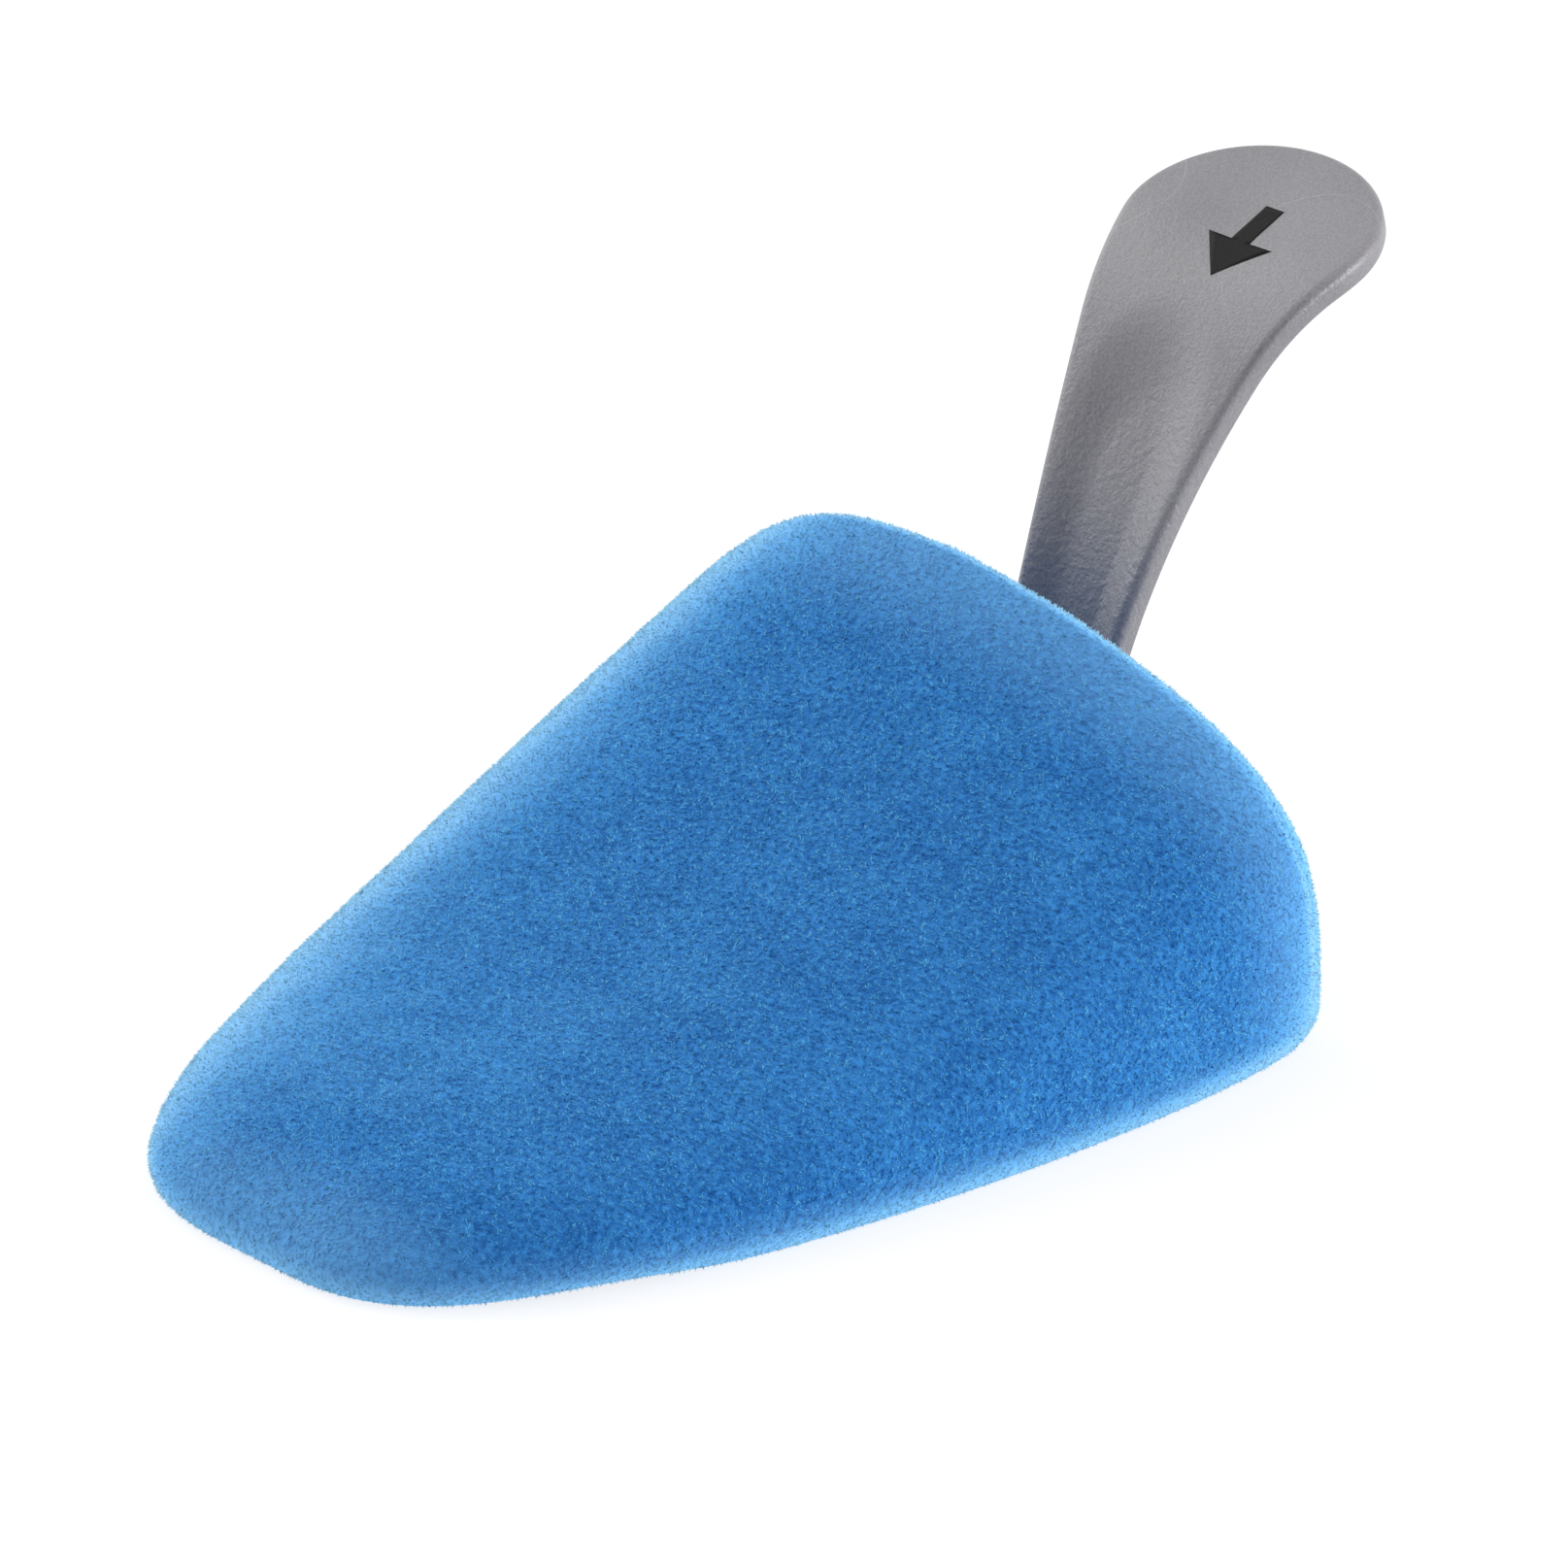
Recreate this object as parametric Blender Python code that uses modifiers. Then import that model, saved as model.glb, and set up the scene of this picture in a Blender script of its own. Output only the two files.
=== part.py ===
"""Foam shoe tree: a flocked foam toe former for a left shoe, with a springy moulded handle.

Lengths are in metres and +Z is up. The toe points along -X, the handle leaves the rear face
along +X, and the outer side of the foot lies towards -Y. Everything is first drawn with the
rear face at x = 0 and the sole at z = 0. One empty then carries it all to its reference
point, the middle of the box's underside.
"""

import math

import bmesh
import bpy
from mathutils import Matrix, Vector

# Foam form, seen from above
FORM_LENGTH = 0.1053
HALF_WIDTH = 0.0460
OUTER_TOE_POWERS = (1.28, 2.50)
INNER_TOE_POWERS = (1.29, 4.20)
HEEL_PINCH = 0.070

# Foam form, seen from the side and in section
REAR_HEIGHT = 0.0384
TOE_HEIGHT = 0.0120
INSTEP_SWEEP = 1.59
RIDGE_START = 0.0270
RIDGE_OFFSET = 0.0070
OUTER_SECTION_POWERS = (1.28, 4.24)
INNER_SECTION_POWERS = (2.98, 2.40)
TOE_SECTION_POWERS = (1.70, 1.60)
REAR_EDGE_RADIUS = 0.0030
SOLE_TUCK = 0.0014
SOLE_TUCK_HEIGHT = 0.0040

# Coverings
COVER_THICKNESS = 0.0012
PANEL_THICKNESS = 0.0014
PANEL_EDGE_RADIUS = 0.0004
SEAT_GAP = 0.0003

# Handle, along its upper face
HANDLE_OFFSET = 0.0022
BLADE_THICKNESS = 0.0030
BLADE_EDGE_RADIUS = 0.0008
TONGUE_LENGTH = 0.0320
TONGUE_HEIGHT = 0.0151
TONGUE_END_LENGTH = 0.0060
ROOT_BEND_RADIUS = 0.0084
NECK_ANGLE = 71.0
NECK_LENGTH = 0.0371
SHOULDER_ANGLE = 54.6
SHOULDER_LENGTH = 0.0163
PAD_ANGLE = 16.9
PAD_HALF_WIDTH = 0.0147
PAD_END_LENGTH = 0.0131
NECK_HALF_WIDTH = 0.0072
FLARE_ANGLE = 13.3
TROUGH_DEPTH = 0.0010
TROUGH_WIDTH_SHARE = 0.66
TROUGH_WALL_SHARE = 0.26
TROUGH_END = 0.0530
TROUGH_RUN_OUT = 0.0080
KEY_HOLE_RADIUS = 0.0035
KEY_HOLE_FROM_TIP = 0.0090
KEY_HOLE_PITCH = 0.0130
KEY_HOLES = 2

# Room round the handle, in the foam and where it passes the cover
POCKET_CLEARANCE = 0.0003
MOUTH_CLEARANCE = 0.0007

# Faces along and across each form
RIB_STEPS = 38
REAR_EDGE_STEPS = 3
RIB_POINTS = 13
BLADE_STEPS = 56
BLADE_ROWS = 8
BLADE_EDGE_STEPS = 2
KEY_PIN_SIDES = 20

# How the solids are drawn and cut
GRID_SIZE = 1.0
GRID_TOLERANCE = 0.0001
MERGE_DISTANCE = 0.00001
CLIMB_STEP = 0.01
SKIRT = 0.0020
CUTTER_MARGIN = 0.0200
KEY_PIN_LENGTH = 4.0 * BLADE_THICKNESS
SHARP_ANGLE = 50.0
LEAST_MITRE = 0.5
STRAIGHT_TURN = 1e-6


def clear_scene():
    for obj in list(bpy.data.objects):
        bpy.data.objects.remove(obj, do_unlink=True)


def new_collection(name):
    collection = bpy.data.collections.new(name)
    bpy.context.scene.collection.children.link(collection)
    return collection


def new_material(name, colour, roughness, metallic=0.0):
    material = bpy.data.materials.new(name)
    material.use_nodes = True
    shader = material.node_tree.nodes["Principled BSDF"]
    shader.inputs["Base Color"].default_value = (*colour, 1.0)
    shader.inputs["Roughness"].default_value = roughness
    shader.inputs["Metallic"].default_value = metallic
    material.diffuse_color = (*colour, 1.0)
    return material


def new_object(name, mesh, collection, parent=None, material=None):
    obj = bpy.data.objects.new(name, mesh)
    collection.objects.link(obj)
    obj.parent = parent
    if material is not None:
        mesh.materials.append(material)
    return obj


def mesh_from(bm, name):
    mesh = bpy.data.meshes.new(name)
    bm.to_mesh(mesh)
    bm.free()
    return mesh


def blend(a, b, share):
    return a + (b - a) * share


def smooth_step(value):
    value = min(max(value, 0.0), 1.0)
    return value * value * (3.0 - 2.0 * value)


def outline_point(turn):
    """A point of the sole's edge.

    Turn 0 is the outer rear corner, pi / 2 the toe and pi the inner rear corner.
    """
    sine = max(math.sin(turn), 0.0)
    cosine = math.cos(turn)
    outer = cosine >= 0.0
    along_power, across_power = OUTER_TOE_POWERS if outer else INNER_TOE_POWERS
    flank_length = FORM_LENGTH - REAR_EDGE_RADIUS
    x = -REAR_EDGE_RADIUS - flank_length * sine ** (2.0 / along_power)
    y = HALF_WIDTH * abs(cosine) ** (2.0 / across_power)
    y *= 1.0 - HEEL_PINCH * (1.0 - sine) ** 4
    return Vector((x, -y if outer else y, 0.0))


def ridge_point(turn):
    """Where the rib that starts at this turn of the edge ends, on the line along the instep."""
    along = max(math.sin(turn), 0.0) ** (2.0 / OUTER_TOE_POWERS[0])
    ridge_length = FORM_LENGTH - REAR_EDGE_RADIUS - RIDGE_START
    height = blend(TOE_HEIGHT, REAR_HEIGHT, (1.0 - along) ** INSTEP_SWEEP)
    return Vector((-REAR_EDGE_RADIUS - ridge_length * along, RIDGE_OFFSET * (1.0 - along), height))


def section_powers(turn):
    cosine = math.cos(turn)
    side = OUTER_SECTION_POWERS if cosine >= 0.0 else INNER_SECTION_POWERS
    return tuple(blend(toe, flank, abs(cosine)) for toe, flank in zip(TOE_SECTION_POWERS, side))


def rib_point(turn, climb):
    """A point of the rib at this turn: climb 0 is on the sole's edge, 1 on the ridge."""
    edge = outline_point(turn)
    ridge = ridge_point(turn)
    reach_power, height_power = section_powers(turn)
    rise = math.pi / 2.0 * climb ** (height_power / 2.0)
    reach = max(math.cos(rise), 0.0) ** (2.0 / reach_power)
    height = ridge.z * math.sin(rise) ** (2.0 / height_power)
    tuck = SOLE_TUCK * max(1.0 - height / SOLE_TUCK_HEIGHT, 0.0) ** 2
    reach *= 1.0 - tuck / (edge - Vector((ridge.x, ridge.y, 0.0))).length
    return Vector((blend(ridge.x, edge.x, reach), blend(ridge.y, edge.y, reach), height))


def section_normal(turn, climb):
    """The outward direction, in the plane of the rear section, of the rib at this climb."""
    if climb >= 1.0:
        return Vector((0.0, 0.0, 1.0))
    tangent = rib_point(turn, climb + CLIMB_STEP) - rib_point(turn, max(climb - CLIMB_STEP, 0.0))
    side = 1.0 if math.cos(turn) >= 0.0 else -1.0
    return Vector((0.0, -side * tangent.z, side * tangent.y)).normalized()


def form_point(across, up):
    """Maps a unit square onto the form's skin.

    across runs round the sole's edge, from the outer rear rim to the inner one, and up runs
    from the skirt below the sole to the ridge.
    """
    columns = RIB_STEPS + 2 * REAR_EDGE_STEPS
    place = across * columns
    if place < REAR_EDGE_STEPS:
        turn, roll = 0.0, 1.0 - place / REAR_EDGE_STEPS
    elif place > columns - REAR_EDGE_STEPS:
        turn, roll = math.pi, 1.0 - (columns - place) / REAR_EDGE_STEPS
    else:
        turn, roll = math.pi * (place - REAR_EDGE_STEPS) / RIB_STEPS, 0.0
    level = up * RIB_POINTS - 1.0
    climb = max(level, 0.0) / (RIB_POINTS - 1.0)
    point = rib_point(turn, climb)
    if level < 0.0:
        point.z = SKIRT * level
    angle = roll * math.pi / 2.0
    point.x += REAR_EDGE_RADIUS * math.sin(angle)
    point -= section_normal(turn, climb) * REAR_EDGE_RADIUS * (1.0 - math.cos(angle))
    return point


def form_skin(name, closed_below):
    """The form's skin with its flat rear face, open below or closed for a solid."""
    bm = bmesh.new()
    columns = RIB_STEPS + 2 * REAR_EDGE_STEPS
    half = GRID_SIZE / 2.0
    bmesh.ops.create_grid(bm, x_segments=columns, y_segments=RIB_POINTS, size=half)
    border = half - GRID_TOLERANCE
    outer = sorted((v for v in bm.verts if v.co.x < -border), key=lambda v: v.co.y)
    inner = sorted((v for v in bm.verts if v.co.x > border), key=lambda v: -v.co.y)
    skirt = sorted((v for v in bm.verts if v.co.y < -border), key=lambda v: v.co.x)
    # Both rims end at the ridge, so the rear face takes that corner once
    bm.faces.new(outer[:-1] + inner)
    if closed_below:
        bm.faces.new(skirt)
    for vertex in bm.verts:
        vertex.co = form_point(vertex.co.x + half, vertex.co.y + half)
    bmesh.ops.remove_doubles(bm, verts=bm.verts, dist=MERGE_DISTANCE)
    bmesh.ops.recalc_face_normals(bm, faces=bm.faces)
    if not closed_below:
        point_outward(bm)
    return mesh_from(bm, name)


def point_outward(bm):
    """An open skin has no inside, so its faces are turned by the one that looks most nearly up."""
    top = max(bm.faces, key=lambda f: abs(f.normal.z) * f.calc_center_median().z)
    if top.normal.z < 0.0:
        bmesh.ops.reverse_faces(bm, faces=bm.faces)


def add_modifier(obj, name, kind, **settings):
    modifier = obj.modifiers.new(name, kind)
    for setting, value in settings.items():
        setattr(modifier, setting, value)
    return modifier


def cut_with(obj, cutter, name):
    return add_modifier(obj, name, "BOOLEAN", operation="DIFFERENCE", solver="EXACT", object=cutter)


def make_cutter(name, mesh, collection, parent):
    obj = new_object(name, mesh, collection, parent)
    obj.hide_render = True
    obj.display_type = "WIRE"
    return obj


def box_below(name, top, collection, parent):
    """A block that takes away everything under the given height."""
    bm = bmesh.new()
    length = FORM_LENGTH + 2.0 * CUTTER_MARGIN
    width = 2.0 * (HALF_WIDTH + CUTTER_MARGIN)
    size = Matrix.Diagonal((length, width, CUTTER_MARGIN, 1.0))
    middle = Vector((-FORM_LENGTH / 2.0, 0.0, top - CUTTER_MARGIN / 2.0))
    bmesh.ops.create_cube(bm, size=1.0, matrix=Matrix.Translation(middle) @ size)
    return make_cutter(name, mesh_from(bm, name), collection, parent)


def inset_loop(points, distance):
    """Moves a closed outline inwards, each point along the middle of its two edges' normals."""
    moved = []
    for index, point in enumerate(points):
        before = (point - points[index - 1]).normalized()
        after = (points[(index + 1) % len(points)] - point).normalized()
        normals = [Vector((edge.y, -edge.x, 0.0)) for edge in (before, after)]
        middle = (normals[0] + normals[1]).normalized()
        moved.append(point - middle * distance / max(middle.dot(normals[0]), LEAST_MITRE))
    return moved


def sole_outline():
    """The sole's edge, anticlockwise from above, with the rear face's straight line closing it."""
    columns = RIB_STEPS + 2 * REAR_EDGE_STEPS
    sole = 1.0 / RIB_POINTS
    points = [form_point(index / columns, sole) for index in range(columns + 1)]
    return [Vector((p.x, p.y, 0.0)) for p in reversed(points)]


def root_bend():
    return ROOT_BEND_RADIUS * math.radians(NECK_ANGLE)


def handle_stretches():
    """Length, first slope and last slope of each stretch of the side view, out from the rear face."""
    return (
        (root_bend(), 0.0, NECK_ANGLE),
        (NECK_LENGTH, NECK_ANGLE, SHOULDER_ANGLE),
        (SHOULDER_LENGTH, SHOULDER_ANGLE, PAD_ANGLE),
        (PAD_END_LENGTH, PAD_ANGLE, PAD_ANGLE),
    )


def pad_centre():
    """Distance along the handle, from the rear face, to the middle of the pad's round end."""
    return root_bend() + NECK_LENGTH + SHOULDER_LENGTH


def profile(distance):
    """Place and slope of the upper face's middle line, so far out from the rear face."""
    x, z, slope = 0.0, TONGUE_HEIGHT, 0.0
    if distance < 0.0:
        return Vector((distance, HANDLE_OFFSET, z)), slope
    left = distance
    for length, start, end in handle_stretches():
        run = min(left, length)
        first, turn = math.radians(start), math.radians(end - start) / length
        slope = first + turn * run
        if abs(turn) > STRAIGHT_TURN:
            x += (math.sin(slope) - math.sin(first)) / turn
            z += (math.cos(first) - math.cos(slope)) / turn
        else:
            x += run * math.cos(first)
            z += run * math.sin(first)
        left -= run
        if left <= 0.0:
            break
    return Vector((x, HANDLE_OFFSET, z)), slope


def half_width(distance):
    """Half the handle's width: a straight tongue and root, flaring into the pad's round."""
    join_angle = math.radians(FLARE_ANGLE)
    join = pad_centre() - PAD_HALF_WIDTH * math.sin(join_angle)
    join_width = PAD_HALF_WIDTH * math.cos(join_angle)
    start = root_bend()
    if distance <= start:
        return NECK_HALF_WIDTH
    if distance >= join:
        return math.sqrt(PAD_HALF_WIDTH**2 - (pad_centre() - distance) ** 2)
    power = math.tan(join_angle) * (join - start) / (join_width - NECK_HALF_WIDTH)
    return blend(NECK_HALF_WIDTH, join_width, ((distance - start) / (join - start)) ** power)


def round_end(share, across, length, side):
    """Maps the last squares of a grid onto half an ellipse, so that no point is a pole."""
    along = length * share * math.sqrt(1.0 - across**2 / 2.0)
    return along, side * across * math.sqrt(1.0 - share**2 / 2.0)


def blade_plan(along, across):
    """Maps a grid onto the handle laid flat: distance out from the rear face, and offset.

    along runs from 0 at the tongue's tip to 1 at the pad's end, and across from -1 to 1.
    """
    tongue_straight = TONGUE_LENGTH - TONGUE_END_LENGTH
    place = along * (TONGUE_LENGTH + pad_centre() + PAD_END_LENGTH) - TONGUE_END_LENGTH
    if place < 0.0:
        share = -place / TONGUE_END_LENGTH
        back, offset = round_end(share, across, TONGUE_END_LENGTH, NECK_HALF_WIDTH)
        return -tongue_straight - back, offset
    distance = place - tongue_straight
    if distance > pad_centre():
        share = (distance - pad_centre()) / PAD_END_LENGTH
        ahead, offset = round_end(share, across, PAD_END_LENGTH, PAD_HALF_WIDTH)
        return pad_centre() + ahead, offset
    return distance, across * half_width(distance)


def trough_depth(distance, offset):
    """How far the upper face is sunk at this place, by the channel down the neck."""
    share = abs(offset) / half_width(min(distance, pad_centre()))
    side = smooth_step((TROUGH_WIDTH_SHARE + TROUGH_WALL_SHARE / 2.0 - share) / TROUGH_WALL_SHARE)
    run_in = smooth_step((distance - root_bend() / 2.0) / (root_bend() / 2.0))
    run_out = smooth_step((TROUGH_END - distance) / TROUGH_RUN_OUT)
    return TROUGH_DEPTH * side * run_in * run_out


def blade_face(name, room):
    """The handle's upper face as an open skin, grown by room on every side."""
    bm = bmesh.new()
    half = GRID_SIZE / 2.0
    bmesh.ops.create_grid(bm, x_segments=BLADE_STEPS, y_segments=BLADE_ROWS, size=half)
    for vertex in bm.verts:
        distance, offset = blade_plan(vertex.co.x + half, vertex.co.y / half)
        place, slope = profile(distance)
        ahead = Vector((math.cos(slope), 0.0, math.sin(slope)))
        normal = Vector((-math.sin(slope), 0.0, math.cos(slope)))
        place.y += offset * (1.0 + room / half_width(min(distance, pad_centre())))
        if distance < 0.0:
            place += ahead * distance * room / TONGUE_LENGTH
        vertex.co = place + normal * (room - trough_depth(distance, offset))
    bmesh.ops.recalc_face_normals(bm, faces=bm.faces)
    point_outward(bm)
    return mesh_from(bm, name)


def key_hole_places():
    first = -TONGUE_LENGTH + KEY_HOLE_FROM_TIP
    return [first + KEY_HOLE_PITCH * index for index in range(KEY_HOLES)]


def key_pins(name, radius, collection, parent):
    """Upright round bars at the tongue's key holes."""
    bm = bmesh.new()
    for x in key_hole_places():
        middle = Matrix.Translation((x, HANDLE_OFFSET, TONGUE_HEIGHT - BLADE_THICKNESS / 2.0))
        bmesh.ops.create_cone(
            bm, cap_ends=True, segments=KEY_PIN_SIDES, radius1=radius, radius2=radius,
            depth=KEY_PIN_LENGTH, matrix=middle,
        )
    return make_cutter(name, mesh_from(bm, name), collection, parent)


def handle_room(name, room, collection, parent):
    """The handle's own shape, grown by room, to cut its seat in what it passes through."""
    obj = make_cutter(name, blade_face(name, room), collection, parent)
    add_modifier(obj, "thickness", "SOLIDIFY", thickness=BLADE_THICKNESS + 2.0 * room, offset=-1.0)
    return obj


def make_handle(collection, cutters, pivot, material):
    """Moulded blade: a tongue in the foam, a root bend, a troughed neck and a thumb pad."""
    obj = new_object("handle", blade_face("handle", 0.0), collection, None, material)
    add_modifier(obj, "thickness", "SOLIDIFY", thickness=BLADE_THICKNESS, offset=-1.0)
    add_modifier(
        obj, "round edges", "BEVEL", width=BLADE_EDGE_RADIUS, segments=BLADE_EDGE_STEPS,
        limit_method="ANGLE", angle_limit=math.radians(SHARP_ANGLE),
    )
    cut_with(obj, key_pins("key_hole_cutter", KEY_HOLE_RADIUS, cutters, pivot.parent), "key holes")
    obj.data.transform(Matrix.Translation(-pivot.location))
    obj.parent = pivot
    obj.data.shade_smooth()
    return obj


def make_upper_cover(collection, cutters, root, material):
    """Flocked skin over the toe, sides, instep and rear face, with the handle's mouth cut in it."""
    obj = new_object("upper_cover", form_skin("upper_cover", False), collection, root, material)
    add_modifier(obj, "thickness", "SOLIDIFY", thickness=COVER_THICKNESS, offset=-1.0)
    cut_with(obj, box_below("sole_cutter", 0.0, cutters, root), "flat sole")
    cut_with(obj, handle_room("mouth_cutter", MOUTH_CLEARANCE, cutters, root), "handle mouth")
    obj.data.shade_smooth()
    return obj


def make_foam_core(collection, cutters, root, material):
    """Soft filling under the cover and over the sole panel, moulded round the handle's tongue."""
    inside = COVER_THICKNESS + SEAT_GAP
    obj = new_object("foam_core", form_skin("foam_core", True), collection, root, material)
    add_modifier(obj, "inside the cover", "DISPLACE", strength=-inside, mid_level=0.0)
    floor = box_below("core_floor_cutter", PANEL_THICKNESS + SEAT_GAP, cutters, root)
    cut_with(obj, floor, "over the sole panel")
    pocket = handle_room("pocket_cutter", POCKET_CLEARANCE, cutters, root)
    plugs = key_pins("foam_plug_cutter", KEY_HOLE_RADIUS - POCKET_CLEARANCE, cutters, root)
    cut_with(pocket, plugs, "foam in the key holes")
    cut_with(obj, pocket, "tongue pocket")
    obj.data.shade_smooth()
    return obj


def make_sole_panel(collection, root, material):
    """Flat flocked panel that closes the underside, inside the cover's lower edge."""
    curve = bpy.data.curves.new("sole_panel", "CURVE")
    curve.dimensions = "2D"
    curve.fill_mode = "BOTH"
    curve.extrude = PANEL_THICKNESS / 2.0 - PANEL_EDGE_RADIUS
    curve.bevel_depth = PANEL_EDGE_RADIUS
    curve.bevel_resolution = 1
    inside = COVER_THICKNESS + SEAT_GAP + PANEL_EDGE_RADIUS
    points = inset_loop(sole_outline(), inside)
    spline = curve.splines.new("POLY")
    spline.points.add(len(points) - 1)
    for spot, point in zip(spline.points, points):
        spot.co = (point.x, point.y, 0.0, 1.0)
    spline.use_cyclic_u = True
    obj = new_object("sole_panel", curve, collection, root, material)
    obj.location = (0.0, 0.0, PANEL_THICKNESS / 2.0)
    return obj


def centre_on_box(root, objects):
    """Carries the whole tree so that the middle of its box's underside is the origin."""
    bpy.context.view_layer.update()
    graph = bpy.context.evaluated_depsgraph_get()
    low = Vector((math.inf, math.inf, math.inf))
    high = -low
    for obj in objects:
        evaluated = obj.evaluated_get(graph)
        mesh = evaluated.to_mesh()
        for vertex in mesh.vertices:
            point = evaluated.matrix_world @ vertex.co
            low = Vector(map(min, low, point))
            high = Vector(map(max, high, point))
        evaluated.to_mesh_clear()
    root.location = (-(low.x + high.x) / 2.0, -(low.y + high.y) / 2.0, 0.0)


def new_empty(name, collection, location=(0.0, 0.0, 0.0), parent=None):
    empty = bpy.data.objects.new(name, None)
    empty.empty_display_size = 0.01
    empty.location = location
    empty.parent = parent
    collection.objects.link(empty)
    return empty


def main():
    clear_scene()
    parts = new_collection("foam_shoe_tree")
    cutters = new_collection("cutters")
    flock = new_material("blue_nylon_flock", (0.03, 0.16, 0.45), 0.95)
    sole_flock = new_material("blue_sole_flock", (0.025, 0.13, 0.38), 0.95)
    foam = new_material("soft_polyurethane_foam", (0.75, 0.74, 0.68), 0.9)
    plastic = new_material("grey_moulded_plastic", (0.30, 0.30, 0.31), 0.4)

    root = new_empty("shoe_tree_root", parts)
    pivot_place = (0.0, HANDLE_OFFSET, TONGUE_HEIGHT - BLADE_THICKNESS / 2.0)
    pivot = new_empty("handle_pivot", parts, pivot_place, root)
    made = [
        make_upper_cover(parts, cutters, root, flock),
        make_sole_panel(parts, root, sole_flock),
        make_foam_core(parts, cutters, root, foam),
        make_handle(parts, cutters, pivot, plastic),
    ]
    centre_on_box(root, made)


main()
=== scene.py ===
import math

import bmesh
import bpy
import numpy as np
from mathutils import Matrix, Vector, noise
from mathutils.bvhtree import BVHTree


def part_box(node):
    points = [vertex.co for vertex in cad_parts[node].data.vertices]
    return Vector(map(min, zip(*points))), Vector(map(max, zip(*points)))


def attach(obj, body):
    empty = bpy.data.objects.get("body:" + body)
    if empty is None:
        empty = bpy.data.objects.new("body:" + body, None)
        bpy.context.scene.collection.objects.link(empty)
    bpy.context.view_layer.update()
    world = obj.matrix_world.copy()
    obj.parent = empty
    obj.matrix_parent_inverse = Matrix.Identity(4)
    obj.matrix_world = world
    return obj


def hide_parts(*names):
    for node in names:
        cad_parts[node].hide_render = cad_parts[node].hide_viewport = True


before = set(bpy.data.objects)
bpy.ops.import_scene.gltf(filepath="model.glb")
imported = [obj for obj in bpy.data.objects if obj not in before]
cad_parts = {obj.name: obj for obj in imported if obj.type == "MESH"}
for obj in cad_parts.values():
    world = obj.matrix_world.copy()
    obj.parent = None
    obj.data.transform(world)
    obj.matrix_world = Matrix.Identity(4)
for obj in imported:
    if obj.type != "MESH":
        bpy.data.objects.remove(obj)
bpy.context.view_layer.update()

# The foam form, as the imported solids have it
FORM_LENGTH = 0.1053
HALF_WIDTH = 0.0460
OUTER_TOE_POWERS = (1.28, 2.50)
INNER_TOE_POWERS = (1.29, 4.20)
HEEL_PINCH = 0.070
REAR_HEIGHT = 0.0384
TOE_HEIGHT = 0.0120
INSTEP_SWEEP = 1.59
RIDGE_START = 0.0270
RIDGE_OFFSET = 0.0070
OUTER_SECTION_POWERS = (1.28, 4.24)
INNER_SECTION_POWERS = (2.98, 2.40)
TOE_SECTION_POWERS = (1.70, 1.60)
REAR_EDGE_RADIUS = 0.0030
SOLE_TUCK = 0.0014
SOLE_TUCK_HEIGHT = 0.0040
COVER_THICKNESS = 0.0012
PANEL_THICKNESS = 0.0014
SEAT_GAP = 0.0003

# The handle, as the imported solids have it
HANDLE_OFFSET = 0.0022
BLADE_THICKNESS = 0.0030
TONGUE_LENGTH = 0.0320
TONGUE_HEIGHT = 0.0151
TONGUE_END_LENGTH = 0.0060
NECK_HALF_WIDTH = 0.0072
PAD_HALF_WIDTH = 0.0147
PAD_END_LENGTH = 0.0131
FLARE_ANGLE = 13.3
NECK_ANGLE = 71.0
ROOT_BEND = 0.0084 * math.radians(NECK_ANGLE)
NECK_LENGTH = 0.0371
SHOULDER_LENGTH = 0.0163
PAD_CENTRE = ROOT_BEND + NECK_LENGTH + SHOULDER_LENGTH
# Length of each stretch of the side view, and its slope at both ends
HANDLE_STRETCHES = (
    (ROOT_BEND, 0.0, NECK_ANGLE),
    (NECK_LENGTH, NECK_ANGLE, 54.6),
    (SHOULDER_LENGTH, 54.6, 16.9),
    (PAD_END_LENGTH, 16.9, 16.9),
)
KEY_HOLE_RADIUS = 0.0035
KEY_HOLE_PLACES = (-0.0230, -0.0100)

# Finer forms that only the dressed handle has
HANDLE_STEPS = 250
HANDLE_ROWS = 44
TOP_EDGE_RADIUS = 0.0011
LOWER_EDGE_RADIUS = 0.0007
EDGE_BENDS = np.radians(np.arange(10.0, 91.0, 10.0))
TROUGH_DEPTH = 0.0015
TROUGH_SHARE = 0.60
TROUGH_WALL = 1.0
TROUGH_END = 0.0465
TROUGH_END_LENGTH = 0.0140
PAD_DISH = 0.0004
PAD_DISH_RADIUS = 0.8 * PAD_HALF_WIDTH
PIN_MARK_RADIUS = 0.0021
PIN_MARK_DEPTH = 0.00015
PIN_MARK_EDGE = 0.0004
PIN_MARK_PLACES = (0.0210, 0.0400, 0.0600)
KEY_HOLE_SIDES = 48

# The printed arrow
ARROW_MIDDLE = 0.0615
ARROW_OFFSET = -0.0012
ARROW_LENGTH = 0.0110
ARROW_HEAD = 0.0052
ARROW_HEAD_HALF_WIDTH = 0.0042
ARROW_SHAFT_HALF_WIDTH = 0.0012
ARROW_POINT_HALF_WIDTH = 0.00002
ARROW_STEPS = 12
ARROW_COLUMNS = 9
INK_THICKNESS = 0.00004

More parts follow.
